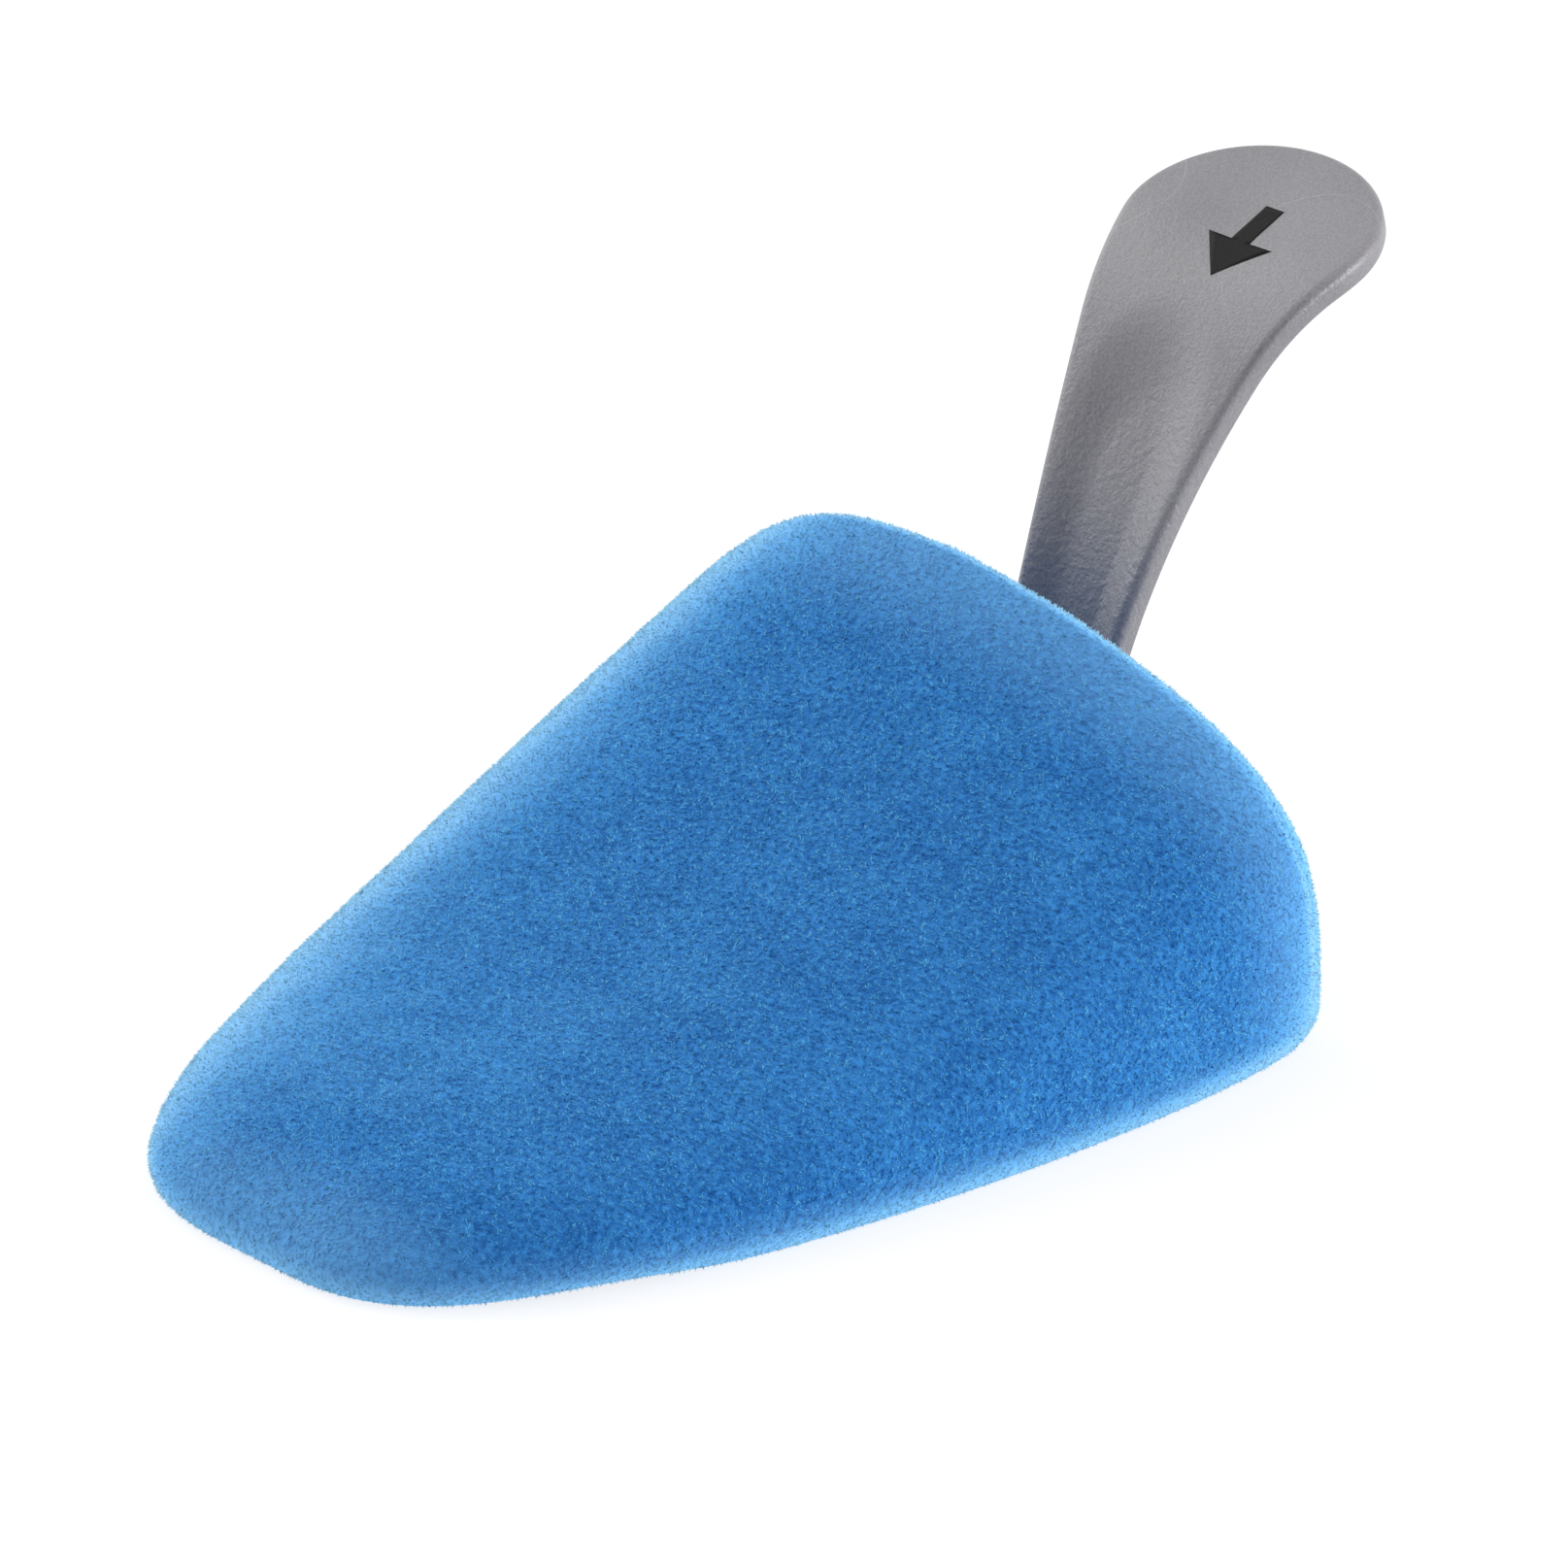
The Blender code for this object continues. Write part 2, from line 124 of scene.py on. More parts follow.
# The skin's steps, and the handle's mouth in its rear face
RIB_STEPS = 250
RIB_ROWS = 92
REAR_EDGE_STEPS = 6
REAR_ROWS = 26
REAR_ROW_POWER = 0.85
REAR_SOLE_STEPS = 70
MOUTH_CLEARANCE = 0.0005
MOUTH_HALF_WIDTH = NECK_HALF_WIDTH + MOUTH_CLEARANCE
MOUTH_HALF_HEIGHT = BLADE_THICKNESS / 2.0 + MOUTH_CLEARANCE
MOUTH_MIDDLE = TONGUE_HEIGHT - BLADE_THICKNESS / 2.0
MOUTH_SQUARENESS = 5.0
LIP_RADIUS = 0.0011
LIP_DEPTH = 0.0026
LIP_BENDS = np.radians((20.0, 40.0, 60.0, 80.0, 90.0))

# The softened instep: its grid of heights and their blur, how far from the ridge it reaches,
# and how it fades out at the rear face and the toe
INSTEP_GRID = 0.0010
INSTEP_BLUR = 0.0070
INSTEP_REACH = 0.0320
INSTEP_REAR_MARGIN = 0.0060
INSTEP_REAR_FADE = 0.0200
INSTEP_TOE_FADE = 0.0250
# Pitch and height of the skin's slow unevenness, which starts above the sole's cut edge
LUMPS = ((0.0110, 0.00012), (0.0042, 0.00007))
LUMP_FADE_HEIGHT = 0.002

# Where a paler blue highlight is painted on: behind the rear rim, above the sole's edge and round the toe
REAR_HIGHLIGHT_REACH = 0.0165
REAR_RIM_HIGHLIGHT_REACH = 0.0040
REAR_RIM_HIGHLIGHT_SHARE = 0.30
REAR_TURN = 0.55
REAR_TURN_FADE = 0.40
SOLE_HIGHLIGHT_REACH = 0.0058
SOLE_EDGE_HIGHLIGHT_REACH = 0.0034
SOLE_EDGE_HIGHLIGHT_SHARE = 0.50
TOE_HIGHLIGHT_REACH = 0.0130
TOE_HIGHLIGHT_SHARE = 0.90
WIDE_HIGHLIGHT_SHARE = 0.42

# The sole panel: its steps, its rise above the floor, its rounded edge, its upper chamfer, and the
# height above the rise within which a face counts as its lower one
SOLE_STEPS = 160
SOLE_ROWS = 44
SOLE_CORNER_STEPS = 3
SOLE_REAR_STEPS = 39
SOLE_RISE = 0.0004
SOLE_EDGE = 0.0005
SOLE_CHAMFER = 0.0001
SOLE_FACE_TOLERANCE = 0.0001

# The foam's cells
FOAM_VOXEL = 0.0010
FOAM_SHRINK = 0.0001
FOAM_PIT_DEPTH = 0.00008
FOAM_PIT_SIZE = 0.0012

# Flock is about 0.02 mm thick: a spike here stands for a tuft, as fine as the picture can show
PILE = {
    "Fibres per square metre": 9.5e6,
    "Fibre length": 0.00039,
    "Fibre width": 0.00017,
    "Clump size": 0.0009,
    "Clump lean": 3.5,
    "Own lean": 0.55,
    "Nap": (-0.15, 0.0, -0.10),
}
SOLE_PILE = {
    **PILE,
    "Fibres per square metre": 4.5e6,
    "Fibre length": 0.00042,
    "Nap": (-0.6, 0.0, 0.0),
}
SOLE_PILE_SEED = 9
FIBRE_SIZES = (0.6, 1.15)
FLOOR_CLEARANCE = 0.00002
SKIN_SHARE = 0.88
REAR_FACE_DEPTH = 0.0004

# Sizes of the marks in the materials, and the range that most of a noise's values lie in
GROUND_CLUMP_SIZE = 0.0006
GROUND_PATCH_SIZE = 0.0090
TUFT_SIZE = 0.0007
TUFT_PATCH_SIZE = 0.0070
FOAM_CELL_SIZE = 0.0011
SCUFF_SWIRL_SIZE = 0.0300
PLASTIC_CLOUD_SIZE = 0.0120
PEEL_SIZE = 0.0008
SPECK_SIZE = 0.0003
INK_GRAIN_SIZE = 0.0004
NOISE_RANGE = (0.32, 0.68)
# The velvet's painted sheen: how far along the surface it is seen where the paler colour starts and where
# it is full
PAINTED_SHEEN_RANGE = (0.31, 0.78)
PAINTED_SHEEN_SHARE = 0.76
# What shifts a fibre between its deep and its pale colour, and by how much
# The tip's shift is painted shade, darker towards the root; the others are random tone
TIP_SHIFT = 0.55
OWN_SHIFT = 0.45
TUFT_SHIFT = 2.7
PATCH_SHIFT = 0.50
# Share of the patches in the ground's mottling, and the range that its mottling spreads
GROUND_PATCH_SHARE = 0.25
GROUND_RANGE = (0.36, 0.64)
# Heights on the handle between which the orange peel fades, and what it fades to
PEEL_FADE = (0.044, 0.056)
PEEL_ON_PAD = 0.3
# A hairline scuff's half width, in the slow noise's own values, and its share of the worn colour
SCUFF_HALF_WIDTH = 0.0018
SCUFF_SHARE = 0.4
# Heights of the bumps that the materials stand for
GROUND_BUMP = 0.00016
FOAM_CELL_BUMP = 0.0006
PEEL_BUMP = 0.00013
SPECK_BUMP = 0.00005
INK_BUMP = 0.00002

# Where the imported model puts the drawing's rear face and middle
handle_low, handle_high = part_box("handle")
PLACE = np.array((
    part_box("upper_cover")[1].x,
    (handle_low.y + handle_high.y) / 2.0 - HANDLE_OFFSET,
    0.0,
))

# Camera: a level one 0.9 m away, turned 47 degrees and looking down 27.5
CAMERA_PLACE = Vector((-0.56929, -0.52392, 0.42581))
CAMERA_AIM = Vector((0.01456, 0.02052, 0.01023))
CAMERA_LENS = 200.62
SENSOR_WIDTH = 36.0

# The light tent: its level, its darker opening round the camera, its paper floor and its lamps
TENT_LEVEL = 1.0
TENT_OPENING = 0.0
TENT_OPENING_RANGE = (0.78, 0.94)
PAPER_SIZE = 4.0
PAPER_DROP = 0.00015
PAPER_GLOW = 0.74
PAPER_GLOW_STRENGTH = 1.04
# Name, place, size in metres and power in watts
LAMPS = (
    ("top_softbox", (0.35, 0.35, 1.20), 0.9, 0.5),
    ("left_softbox", (-0.15, 0.95, 0.62), 1.3, 6.8),
    ("right_softbox", (0.50, -1.00, 0.14), 0.8, 12.0),
)


def linear(code):
    """An sRGB hex colour as linear RGBA."""
    channels = [int(code[i:i + 2], 16) / 255.0 for i in (1, 3, 5)]
    return (*[c / 12.92 if c <= 0.04045 else ((c + 0.055) / 1.055) ** 2.4 for c in channels], 1.0)


def add(tree, kind, links=None, **settings):
    """Adds a node. links gives an input its value or the socket that feeds it."""
    node = tree.nodes.new(kind)
    for name, value in settings.items():
        setattr(node, name, value)
    for socket, source in (links or {}).items():
        if isinstance(source, bpy.types.NodeSocket):
            tree.links.new(source, node.inputs[socket])
        else:
            node.inputs[socket].default_value = source
    return node


def maths(tree, operation, *values, clamp=False):
    """The socket of a sum or the like of numbers and sockets."""
    links = dict(enumerate(values))
    return add(tree, "ShaderNodeMath", links, operation=operation, use_clamp=clamp).outputs[0]


def vector_maths(tree, operation, first, second):
    """The socket of a sum of two vectors or the like, or of a vector scaled by a number."""
    place = "Scale" if operation == "SCALE" else 1
    return add(tree, "ShaderNodeVectorMath", {0: first, place: second}, operation=operation).outputs[0]


def random_value(tree, low, high, seed):
    """A random number or vector of each point."""
    kind, first = ("FLOAT_VECTOR", 0) if isinstance(low, tuple) else ("FLOAT", 2)
    links = {first: low, first + 1: high, "Seed": seed}
    return add(tree, "FunctionNodeRandomValue", links, data_type=kind).outputs["Value"]


def stored(tree, geometry, name, value, kind="FLOAT"):
    """The geometry with a named value on its points."""
    links = {"Geometry": geometry, "Name": name, "Value": value}
    return add(tree, "GeometryNodeStoreNamedAttribute", links, data_type=kind, domain="POINT").outputs[0]


def cloud(tree, spot, size, detail=2.0):
    """Noise with marks of about this size."""
    links = {"Vector": spot, "Scale": 1.0 / size, "Detail": detail}
    return add(tree, "ShaderNodeTexNoise", links).outputs["Fac"]


def spread(tree, source, low, high, to_low=0.0, to_high=1.0, **settings):
    """Maps the values from low to high onto 0 to 1, or onto to_low to to_high."""
    links = {"Value": source, "From Min": low, "From Max": high, "To Min": to_low, "To Max": to_high}
    return add(tree, "ShaderNodeMapRange", links, **settings).outputs[0]


def mixed(tree, share, first, second, kind="RGBA"):
    """A blend of two sockets or values. A colour may be a hex code."""
    first, second = [linear(end) if isinstance(end, str) else end for end in (first, second)]
    links = {"Factor": share, "A": first, "B": second}
    return add(tree, "ShaderNodeMix", links, data_type=kind).outputs["Result"]


def attribute(tree, name):
    return add(tree, "ShaderNodeAttribute", attribute_name=name).outputs["Fac"]


def object_place(tree):
    return add(tree, "ShaderNodeTexCoord").outputs["Object"]


def new_material(name):
    """An empty material with its Principled shader."""
    material = bpy.data.materials.new(name)
    material.use_nodes = True
    tree = material.node_tree
    return material, tree, tree.nodes["Principled BSDF"]


def set_shader(shader, **values):
    """Plain values straight on the shader's sockets, with _ for a space in their names."""
    for name, value in values.items():
        shader.inputs[name.replace("_", " ")].default_value = value


def blend(a, b, share):
    return a + (b - a) * share


def smooth_step(value):
    value = np.clip(value, 0.0, 1.0)
    return value * value * (3.0 - 2.0 * value)


def new_object(name, mesh):
    obj = bpy.data.objects.new(name, mesh)
    bpy.context.scene.collection.objects.link(obj)
    return obj


def mesh_from(name, points, faces, merge=1e-6, open_skin=False):
    """A mesh of points given in the drawing's place, with doubles merged and faces turned outwards."""
    bm = bmesh.new()
    verts = [bm.verts.new(p) for p in np.asarray(points).reshape(-1, 3) + PLACE]
    for face in faces:
        bm.faces.new([verts[i] for i in face])
    bmesh.ops.remove_doubles(bm, verts=bm.verts, dist=merge)
    bmesh.ops.recalc_face_normals(bm, faces=bm.faces)
    if open_skin:
        highest = max(bm.faces, key=lambda f: f.calc_center_median().z)
        if highest.normal.z < 0.0:
            bmesh.ops.reverse_faces(bm, faces=bm.faces)
    mesh = bpy.data.meshes.new(name)
    bm.to_mesh(mesh)
    bm.free()
    mesh.shade_smooth()
    return mesh


def grid_faces(rows, columns, closed=False, start=0):
    """Quads between the points of rows by columns, numbered row by row from start."""
    faces = []
    for row in range(rows - 1):
        for column in range(columns if closed else columns - 1):
            after = (column + 1) % columns
            low, high = start + row * columns, start + (row + 1) * columns
            faces.append((low + column, low + after, high + after, high + column))
    return faces


def plain_copy(obj, name):
    """The object's evaluated mesh as a new plain object, and the old one gone."""
    graph = bpy.context.evaluated_depsgraph_get()
    mesh = bpy.data.meshes.new_from_object(obj.evaluated_get(graph))
    bpy.data.objects.remove(obj, do_unlink=True)
    mesh.name = name
    return new_object(name, mesh)


def read_vectors(items, name):
    """One vector of each vertex or corner, as rows."""
    values = np.empty(len(items) * 3, np.float32)
    items.foreach_get(name, values)
    return values.reshape(-1, 3).astype(float)


def write_places(mesh, places):
    mesh.vertices.foreach_set("co", places.astype(np.float32).ravel())
    mesh.update()


def move_along_normals(mesh, amount):
    """Moves each vertex along its normal by what amount gives for its place."""
    places = read_vectors(mesh.vertices, "co")
    normals = read_vectors(mesh.vertices, "normal")
    heights = np.array([amount(place) for place in places])
    write_places(mesh, places + normals * heights[:, None])


# The form


def edge_points(turn):
    """The sole's edge: turn 0 is the outer rear corner, pi / 2 the toe, pi the inner rear corner."""
    sine = np.maximum(np.sin(turn), 0.0)
    cosine = np.cos(turn)
    outer = cosine >= 0.0
    along = np.where(outer, OUTER_TOE_POWERS[0], INNER_TOE_POWERS[0])
    across = np.where(outer, OUTER_TOE_POWERS[1], INNER_TOE_POWERS[1])
    x = -REAR_EDGE_RADIUS - (FORM_LENGTH - REAR_EDGE_RADIUS) * sine ** (2.0 / along)
    y = HALF_WIDTH * np.abs(cosine) ** (2.0 / across) * (1.0 - HEEL_PINCH * (1.0 - sine) ** 4)
    return np.stack((x, np.where(outer, -y, y), np.zeros_like(x)), -1)


def ridge_points(turn):
    """Where each rib ends, on the line along the instep."""
    along = np.maximum(np.sin(turn), 0.0) ** (2.0 / OUTER_TOE_POWERS[0])
    length = FORM_LENGTH - REAR_EDGE_RADIUS - RIDGE_START
    height = blend(TOE_HEIGHT, REAR_HEIGHT, (1.0 - along) ** INSTEP_SWEEP)
    return np.stack((-REAR_EDGE_RADIUS - length * along, RIDGE_OFFSET * (1.0 - along), height), -1)


def rib_points(turn, climb):
    """Points of the ribs at these turns: climb 0 is on the sole's edge, 1 on the ridge."""
    edge, ridge = edge_points(turn), ridge_points(turn)
    share = np.abs(np.cos(turn))
    outer = np.cos(turn) >= 0.0
    sides = [np.where(outer, o, i) for o, i in zip(OUTER_SECTION_POWERS, INNER_SECTION_POWERS)]
    reach_power, height_power = [blend(t, s, share) for t, s in zip(TOE_SECTION_POWERS, sides)]
    rise = np.pi / 2.0 * climb ** (height_power / 2.0)
    reach = np.maximum(np.cos(rise), 0.0) ** (2.0 / reach_power)
    height = ridge[..., 2] * np.sin(rise) ** (2.0 / height_power)
    tuck = SOLE_TUCK * np.maximum(1.0 - height / SOLE_TUCK_HEIGHT, 0.0) ** 2
    reach = reach * (1.0 - tuck / np.hypot(edge[..., 0] - ridge[..., 0], edge[..., 1] - ridge[..., 1]))
    flat = [blend(ridge[..., i], edge[..., i], reach) for i in (0, 1)]
    return np.stack((*flat, height), -1)


def rim_normals(turn, climb):
    """The outward direction of each rib in the plane of the rear section."""
    step = 0.01
    tangent = rib_points(turn, climb + step) - rib_points(turn, np.maximum(climb - step, 0.0))
    side = np.where(np.cos(turn) >= 0.0, 1.0, -1.0)
    normal = np.stack((np.zeros_like(side * climb), -side * tangent[..., 2], side * tangent[..., 1]), -1)
    normal /= np.linalg.norm(normal, axis=-1, keepdims=True)
    return np.where((climb >= 1.0)[..., None], (0.0, 0.0, 1.0), normal)


def form_band(rib_steps, edge_steps, rows):
    """The form's skin but for the rear face, as rows of points from the sole's edge to the ridge."""
    rolls = np.linspace(1.0, 0.0, edge_steps, endpoint=False)
    turns = np.linspace(0.0, np.pi, rib_steps + 1)
    turn = np.concatenate((np.zeros(edge_steps), turns, np.full(edge_steps, np.pi)))
    roll = np.concatenate((rolls, np.zeros(rib_steps + 1), rolls[::-1]))
    climb = np.linspace(0.0, 1.0, rows)[:, None]
    points = rib_points(turn[None], climb)
    angle = roll * np.pi / 2.0
    points[..., 0] += REAR_EDGE_RADIUS * np.sin(angle)
    drop = (REAR_EDGE_RADIUS * (1.0 - np.cos(angle)))[None, :, None]
    points -= np.where(drop > 0.0, rim_normals(turn[None], climb) * drop, 0.0)
    points[0, :, 2] = 0.0
    return points


def mouth_loop(angle, grown, x):
    """The mouth's outline in the rear face, grown by so much and sunk to x."""
    power = 2.0 / MOUTH_SQUARENESS
    y = (MOUTH_HALF_WIDTH + grown) * np.sign(np.cos(angle)) * np.abs(np.cos(angle)) ** power
    z = (MOUTH_HALF_HEIGHT + grown) * np.sign(np.sin(angle)) * np.abs(np.sin(angle)) ** power
    return np.stack((np.full_like(y, x), y + HANDLE_OFFSET, z + MOUTH_MIDDLE), -1)


def rear_face(band, rows, sole_steps):
    """Rings of points from the rear rim to the handle's mouth, whose lips roll into the foam."""
    outer, inner = band[:, 0], band[:, -1]
    share = np.linspace(0.0, 1.0, sole_steps + 1)[1:-1, None]
    rim = np.concatenate((outer, inner[-2::-1], blend(inner[0], outer[0], share)))
    height = (rim[:, 2] - MOUTH_MIDDLE) / REAR_HEIGHT
    angle = np.arctan2(height, (rim[:, 1] - HANDLE_OFFSET) / HALF_WIDTH)
    mouth = mouth_loop(angle, LIP_RADIUS, 0.0)
    rings = [blend(rim, mouth, s ** REAR_ROW_POWER) for s in np.linspace(0.0, 1.0, rows)]
    for bend in LIP_BENDS:
        sunk = LIP_RADIUS * (1.0 - np.cos(bend))
        rings.append(mouth_loop(angle, LIP_RADIUS * (1.0 - np.sin(bend)), -sunk))
    rings.append(mouth_loop(angle, 0.0, -(LIP_RADIUS + LIP_DEPTH) / 2.0))
    rings.append(mouth_loop(angle, 0.0, -LIP_DEPTH))
    return np.stack(rings)


def soften_instep(mesh):
    """Blends the heights near the ridge, where the ribs meet, as foam pulled over a form would lie."""
    surface = BVHTree.FromPolygons([v.co for v in mesh.vertices], [p.vertices for p in mesh.polygons])
    low = PLACE[:2] - (FORM_LENGTH, HALF_WIDTH)
    counts = [math.ceil(size / INSTEP_GRID) for size in (FORM_LENGTH, 2.0 * HALF_WIDTH)]
    heights = np.zeros(counts)
    filled = np.zeros(counts)
    for i, j in np.ndindex(*counts):
        above = (low[0] + i * INSTEP_GRID, low[1] + j * INSTEP_GRID, 1.0)
        hit = surface.ray_cast(above, (0.0, 0.0, -1.0))[0]
        if hit is not None:
            heights[i, j] = hit.z
            filled[i, j] = 1.0
    widest = 3.0 * INSTEP_BLUR
    offsets = np.arange(-widest, widest + INSTEP_GRID / 2.0, INSTEP_GRID)
    bell = np.exp(-(offsets / INSTEP_BLUR) ** 2 / 2.0)
    for axis in (0, 1):
        heights = np.apply_along_axis(np.convolve, axis, heights, bell, mode="same")
        filled = np.apply_along_axis(np.convolve, axis, filled, bell, mode="same")
    heights /= np.maximum(filled, 1e-6)

    places = read_vectors(mesh.vertices, "co")
    spot = (places[:, :2] - low) / INSTEP_GRID
    cell = np.clip(spot.astype(int), 0, np.array(counts) - 2)
    part = np.clip(spot - cell, 0.0, 1.0)
    corners = [heights[cell[:, 0] + i, cell[:, 1] + j] for i in (0, 1) for j in (0, 1)]
    near, far = blend(corners[0], corners[1], part[:, 1]), blend(corners[2], corners[3], part[:, 1])
    soft = blend(near, far, part[:, 0])
    # How far each point is from the ridge in plan, from the rear face and from the toe
    length = FORM_LENGTH - RIDGE_START
    back = PLACE[0] - places[:, 0]
    ridge = PLACE[1] + RIDGE_OFFSET * (1.0 - np.clip(back / length, 0.0, 1.0))
    away = np.hypot(places[:, 1] - ridge, np.maximum(back - length, 0.0))
    share = smooth_step(1.0 - away / INSTEP_REACH)
    share *= smooth_step((back - INSTEP_REAR_MARGIN) / INSTEP_REAR_FADE)
    share *= smooth_step((FORM_LENGTH - back) / INSTEP_TOE_FADE)
    places[:, 2] = blend(places[:, 2], soft, share)
    write_places(mesh, places)


def surface_lumps(place):
    """The slow unevenness of foam under a bonded skin, gone at the sole's cut edge."""
    height = sum(size * noise.noise(Vector(place) / pitch) for pitch, size in LUMPS)
    return height * min(place[2] / LUMP_FADE_HEIGHT, 1.0)


def mark_painted_highlight(mesh):
    """Notes where a paler blue highlight is painted: where the skin turns over the rear rim, the sole's
    edge and the toe.
    """
    places = read_vectors(mesh.vertices, "co")
    back = PLACE[0] - places[:, 0]
    height = places[:, 2]
    # The rear face itself lies flat and keeps its deep blue
    turned = read_vectors(mesh.vertices, "normal")[:, 0]
    aside = 1.0 - smooth_step((turned - REAR_TURN) / REAR_TURN_FADE)
    toe = TOE_HIGHLIGHT_SHARE * smooth_step(1.0 - (FORM_LENGTH - back) / TOE_HIGHLIGHT_REACH)
    wide = np.maximum(toe, aside * smooth_step(1.0 - back / REAR_HIGHLIGHT_REACH))
    wide = np.maximum(wide, smooth_step(1.0 - height / SOLE_HIGHLIGHT_REACH))
    lip = np.maximum(
        REAR_RIM_HIGHLIGHT_SHARE * aside * smooth_step(1.0 - back / REAR_RIM_HIGHLIGHT_REACH),
        SOLE_EDGE_HIGHLIGHT_SHARE * smooth_step(1.0 - height / SOLE_EDGE_HIGHLIGHT_REACH),
    )
    # The painted highlight: a broad band and a narrow one along each edge
    painted_highlight = WIDE_HIGHLIGHT_SHARE * wide + lip
    layer = mesh.attributes.new("painted_highlight", "FLOAT", "POINT")
    layer.data.foreach_set("value", painted_highlight.astype(np.float32))


def make_skin():
    """The velour's outer surface, over the toe, the sides, the instep and the rear face."""
    band = form_band(RIB_STEPS, REAR_EDGE_STEPS, RIB_ROWS)
    rear = rear_face(band, REAR_ROWS, REAR_SOLE_STEPS)
    faces = grid_faces(*band.shape[:2])
    faces += grid_faces(*rear.shape[:2], closed=True, start=band.shape[0] * band.shape[1])
    points = np.concatenate((band.reshape(-1, 3), rear.reshape(-1, 3)))
    mesh = mesh_from("velour_cover", points, faces, open_skin=True)
    soften_instep(mesh)
    move_along_normals(mesh, surface_lumps)
    mark_painted_highlight(mesh)
    return mesh


def make_cover(skin, material):
    """The bonded skin with its wall, cut flat along the sole."""
    obj = new_object("cover_draft", skin.copy())
    wall = obj.modifiers.new("wall", "SOLIDIFY")
    wall.thickness = COVER_THICKNESS
    wall.offset = -1.0
    obj = plain_copy(obj, "velour_cover")
    obj.data.materials.clear()
    obj.data.materials.append(material)
    return obj


# Flock pile


def pile_tree():
    """Fibres stood on a skin: single ones lean at random, and neighbours lean alike in small clumps."""
    tree = bpy.data.node_groups.new("flock pile", "GeometryNodeTree")
    kinds = {
        "Skin": "Geometry",
        "Fibres per square metre": "Float",
        "Fibre length": "Float",
        "Fibre width": "Float",
        "Clump size": "Float",
        "Clump lean": "Float",
        "Own lean": "Float",
        "Nap": "Vector",
        "Seed": "Int",
        "Fibre": "Material",
    }
    for name, kind in kinds.items():
        tree.interface.new_socket(name=name, in_out="INPUT", socket_type="NodeSocket" + kind)
    tree.interface.new_socket(name="Pile", in_out="OUTPUT", socket_type="NodeSocketGeometry")
    given = add(tree, "NodeGroupInput").outputs
    seed, length = given["Seed"], given["Fibre length"]
    roots = add(tree, "GeometryNodeDistributePointsOnFaces", {
        "Mesh": given["Skin"], "Density": given["Fibres per square metre"], "Seed": seed,
    }, distribute_method="RANDOM").outputs
    points = stored(tree, roots["Points"], "shade", random_value(tree, 0.0, 1.0, seed))
    points = stored(tree, points, "skin_normal", roots["Normal"], "FLOAT_VECTOR")

    # Lean: a slow swirl that neighbours share, each fibre's own, the nap and the surface's direction
    place = add(tree, "GeometryNodeInputPosition").outputs[0]
    pitch = maths(tree, "DIVIDE", 1.0, given["Clump size"])
    swirl = add(tree, "ShaderNodeTexNoise", {"Vector": place, "Scale": pitch, "Detail": 1.0})
    centred = vector_maths(tree, "SUBTRACT", swirl.outputs["Color"], (0.5, 0.5, 0.5))
    shared = vector_maths(tree, "SCALE", centred, given["Clump lean"])
    own = random_value(tree, (-1.0, -1.0, -1.0), (1.0, 1.0, 1.0), seed)
    lone = vector_maths(tree, "SCALE", own, given["Own lean"])
    aim = vector_maths(tree, "ADD", shared, lone)
    for more in (given["Nap"], roots["Normal"]):
        aim = vector_maths(tree, "ADD", aim, more)
    spin = random_value(tree, (0.0, 0.0, 0.0), (0.0, 0.0, math.tau), seed)
    stand = add(tree, "FunctionNodeAlignRotationToVector", {"Rotation": spin, "Vector": aim}, axis="Z")

    # One fibre: a closed three-sided spike, with tip 0 at its root and 1 at its end
    spike = add(tree, "GeometryNodeMeshCone", {
        "Vertices": 3, "Side Segments": 1, "Radius Top": 0.0,
        "Radius Bottom": maths(tree, "MULTIPLY", given["Fibre width"], 0.5), "Depth": length,
    }, fill_type="NGON").outputs["Mesh"]
    height = add(tree, "ShaderNodeSeparateXYZ", {0: place}).outputs["Z"]
    fibre = stored(tree, spike, "tip", maths(tree, "DIVIDE", height, length, clamp=True))

    pile = add(tree, "GeometryNodeInstanceOnPoints", {
        "Points": points, "Instance": fibre, "Rotation": stand.outputs[0],
        "Scale": random_value(tree, *FIBRE_SIZES, seed),
    }).outputs[0]
    for kind, more in (
        ("GeometryNodeRealizeInstances", {}),
        ("GeometryNodeSetShadeSmooth", {"Shade Smooth": True}),
        ("GeometryNodeSetMaterial", {"Material": given["Fibre"]}),
    ):
        pile = add(tree, kind, {"Geometry": pile, **more}).outputs[0]
    add(tree, "NodeGroupOutput", {0: pile})
    return tree


def part_of(skin, name, inside):
    """The faces of a skin whose middles the test accepts, as a draft object."""
    bm = bmesh.new()
    bm.from_mesh(skin)
    outside = [f for f in bm.faces if not inside(f.calc_center_median())]
    bmesh.ops.delete(bm, geom=outside, context="FACES")
    mesh = bpy.data.meshes.new(name)
    bm.to_mesh(mesh)
    bm.free()
    return new_object(name, mesh)


